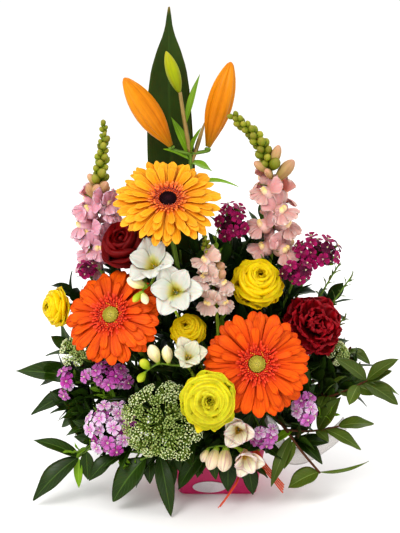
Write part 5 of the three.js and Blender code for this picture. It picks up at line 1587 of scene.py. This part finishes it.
def sheerFinish():  # a see-through weave between two firm edges
    material, tree, shader = newFinish("sheer ribbon", Sheen_Weight=0.3, Specular_IOR_Level=0.3)
    along, across, pick, side = readMarks(tree)
    warp = calc(tree, "SINE", calc(tree, "MULTIPLY", across, 90.0))
    weft = calc(tree, "SINE", calc(tree, "MULTIPLY", along, 620.0))
    weave = calc(tree, "MULTIPLY_ADD", calc(tree, "MULTIPLY", warp, weft), 0.5, 0.5)
    firm = step(tree, calc(tree, "ABSOLUTE", across), 0.84, 0.92)
    plug(tree, shader.inputs["Base Color"], mixHue(tree, weave, "c8c1bc", "e6e1de"))
    solid = calc(tree, "MULTIPLY_ADD", calc(tree, "MAXIMUM", weave, firm), 0.45, 0.38)
    plug(tree, shader.inputs["Alpha"], solid)
    plug(tree, shader.inputs["Roughness"], calc(tree, "MULTIPLY_ADD", weave, 0.2, 0.35))
    bump = node(tree, "Bump", None, Strength=0.3, Distance=0.0003, Height=weave)
    plug(tree, shader.inputs["Normal"], bump.outputs[0])
    return material


madeFinishes["ribbon_loop"] = sheerFinish()


def squareLoop(wide, corner):
    h = wide / 2 - corner
    loop = []
    for k, (x, y) in enumerate(((h, h), (-h, h), (-h, -h), (h, -h))):
        for a in np.linspace(k * tau / 4, (k + 1) * tau / 4, 9):
            loop.append((x + corner * cos(a), y + corner * sin(a)))
    return np.array(loop)


def boxWidth(z):
    return box["base"] + (box["top"] - box["base"]) * z / box["high"]


def cardBox():
    heap = Heap()
    wall, high, corner = box["wall"], box["high"], box["corner"]
    inner = corner - wall
    inside, floorWide = boxWidth(high) - 2 * wall, boxWidth(wall) - 2 * wall
    levels = [(0.0, boxWidth(0) - 1.0, corner), (0.5, boxWidth(0), corner)]  # height, width, corner radius
    levels += [(z, boxWidth(z), corner) for z in np.linspace(3, high - 4, 12)]
    # the rim is turned over
    levels += [(high - 3.6, boxWidth(high - 3.6) + 0.5, corner + 0.2),
               (high - 0.8, boxWidth(high) + 0.4, corner + 0.2), (high, boxWidth(high) - 0.5, corner)]
    levels += [(high, inside + 0.6, inner + 0.4), (high - 0.8, inside, inner)]
    levels += [(wall + 0.5, floorWide, inner), (wall, floorWide - 1, inner - 0.2)]
    rings = np.array([[(x, y, z) for x, y in squareLoop(w, c)] for z, w, c in levels])[:, ::-1]
    heap.skin(rings, vec(0, 0, 0), vec(0, 0, wall), np.zeros(rings.shape), np.ones(rings.shape[:2]))
    seam = np.linspace((26, boxWidth(2) / 2 + 0.25, 2), (28, boxWidth(high - 5) / 2 + 0.25, high - 5), 8)
    flap = np.linspace(-1, 1, 7)  # arched a little, so that its edges meet the wall
    strip = np.array([[p + vec(6 * v, 0.2 - 0.5 * v * v, 0) for v in flap] for p in seam])
    along, across = np.meshgrid(np.linspace(0, 1, 8), flap, indexing="ij")
    heap.sheet(strip, along, across, 0.4, 0.5)
    standFor(heap, "gift_box", [madeFinishes["card"]])


def ovalSeal():
    heap = Heap()
    lean = atan2((box["top"] - box["base"]) / 2, box["high"])
    out = vec(0, -cos(lean), -sin(lean))
    at = vec(seal["x"], -boxWidth(seal["z"]) / 2, seal["z"]) + out * 0.3
    squash = frameOf((1, 0, 0), (0, seal["down"] / seal["across"], 0), (0, 0, 1), (0, 0, 0))
    r = seal["across"] / 2
    profile = [(0.4, 0), (r - 0.2, 0), (r, 0.2), (r, 0.6), (r - 0.5, 0.85), (r - 1.1, 0.6), (r - 1.6, 0.55),
               (r - 2.2, 0.78), (r - 3.2, 0.8), (0.4, 0.84)]
    heap.turn(profile, pose(at, out) @ squash, 72)
    standFor(heap, "box_label", [madeFinishes["foil"]])


def trim(name, spec):
    heap = Heap()
    line = smoothLine(spec["line"], 8)
    ahead = np.gradient(line, axis=0)
    ahead /= norm(ahead, axis=1, keepdims=True)
    last = np.array(spec["across"], float)
    rows = []
    spans = np.linspace(-1, 1, 9)
    for share, t, point in zip(np.linspace(0, 1, len(line)), ahead, line):
        last = unit(last - t * np.dot(last, t))
        up = np.cross(t, last)
        lift = 0.05 * spec["width"] * (np.sin(5 * spans) + 0.8 * np.sin(19 * share + 2 * spans))
        rows.append([point + last * v * spec["width"] / 2 + up * h for v, h in zip(spans, lift)])
    along, across = np.meshgrid(np.linspace(0, 1, len(line)), spans, indexing="ij")
    rows = np.array(rows)
    if "strips" in spec:  # raffia: narrow strips side by side that part towards the loose end
        for k in range(spec["strips"]):
            low, high = k * 8 // spec["strips"], (k + 1) * 8 // spec["strips"]
            apart = 0.07 * (k - (spec["strips"] - 1) / 2) * np.linspace(0, 1, len(line)) ** 3
            strip = rows[:, [low, (low + high) // 2, high]]
            strip = strip + (apart[:, None] * (rows[:, 8] - rows[:, 0]))[:, None]
            keep = len(line) - (k * 5) % 4
            heap.sheet(strip[:keep], along[:keep, :3], np.repeat([[-1, 0, 1]], keep, axis=0).astype(float),
                       spec["thick"], k / spec["strips"])
    else:
        heap.sheet(rows, along, across, spec["thick"], 0.5)
    return standFor(heap, name, [madeFinishes[name]]), line


cardBox()
ovalSeal()
for trimName, trimSpec in trims.items():
    trimPiece, trimLine = trim(trimName, trimSpec)
    if trimName == "ribbon_loop":
        ribbonLong = float(norm(np.diff(trimLine, axis=0), axis=1).sum())
for nodeName, finishName in (("box_liner", "tray"), ("floral_foam", "foam")):
    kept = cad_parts[nodeName].data.materials
    kept.clear()
    kept.append(madeFinishes[finishName])
print("box and trims made,", faceTotal, "faces in all")

# Floor, light and camera.
stage = {"floor": "faf9f8", "floorWide": 90.0, "world": 0.92, "key": 22.0, "fill": 3.5, "rim": 8.0}
studio = bpy.context.scene
studio.view_settings.view_transform = "Standard"
studio.view_settings.look = "Medium High Contrast"


def makeFloor():
    half = stage["floorWide"] / 2
    mesh = bpy.data.meshes.new("floor")
    corners = [(-half, -half, 0), (half, -half, 0), (half, half, 0), (-half, half, 0)]
    mesh.from_pydata(corners, [], [(0, 1, 2, 3)])
    material, tree, shader = newFinish("pale floor", Roughness=0.7)
    where = node(tree, "TexCoord").outputs["Object"]
    cloud = node(tree, "TexNoise", None, Vector=where, Scale=3.0, Detail=2.0).outputs[0]
    plug(tree, shader.inputs["Base Color"], mixHue(tree, cloud, stage["floor"], "f8f7f6"))
    mesh.materials.append(material)
    floor = bpy.data.objects.new("floor", mesh)
    studio.collection.objects.link(floor)


def makeLight(name, at, size, power):
    lamp = bpy.data.lights.new(name, "AREA")
    lamp.size = size
    lamp.energy = power
    holder = bpy.data.objects.new(name, lamp)
    holder.location = at
    aimAt = vec(0, 0, 0.2) - vec(*at)  # towards the low blooms
    holder.rotation_euler = Vector(aimAt).to_track_quat("-Z", "Y").to_euler()
    studio.collection.objects.link(holder)


def makeCamera():
    camera = bpy.data.cameras.new("camera")
    camera.sensor_width = view["sensor"]
    camera.lens = view["sensor"] * view["reach"] / (2 * view["down"])  # the height is the longer side
    camera.clip_end = 50
    holder = bpy.data.objects.new("camera", camera)
    back = view["reach"] * metre
    holder.location = (view["x"] * metre, -back * cos(view["rise"]),
                       view["z"] * metre + back * sin(view["rise"]))
    holder.rotation_euler = (pi / 2 - view["rise"], 0, 0)
    studio.collection.objects.link(holder)
    studio.camera = holder


def makeWorld():
    world = bpy.data.worlds.new("white studio")
    world.use_nodes = True
    sky = world.node_tree.nodes["Background"]
    sky.inputs["Color"].default_value = (1, 1, 1, 1)
    sky.inputs["Strength"].default_value = stage["world"]
    studio.world = world


makeFloor()
makeWorld()
makeLight("key light", (-0.9, -1.5, 1.7), 0.9, stage["key"])
makeLight("fill light", (1.4, -1.1, 0.9), 1.2, stage["fill"])
makeLight("back light", (0.5, 1.6, 1.5), 1.0, stage["rim"])
makeCamera()
print("stage, lights and camera made")
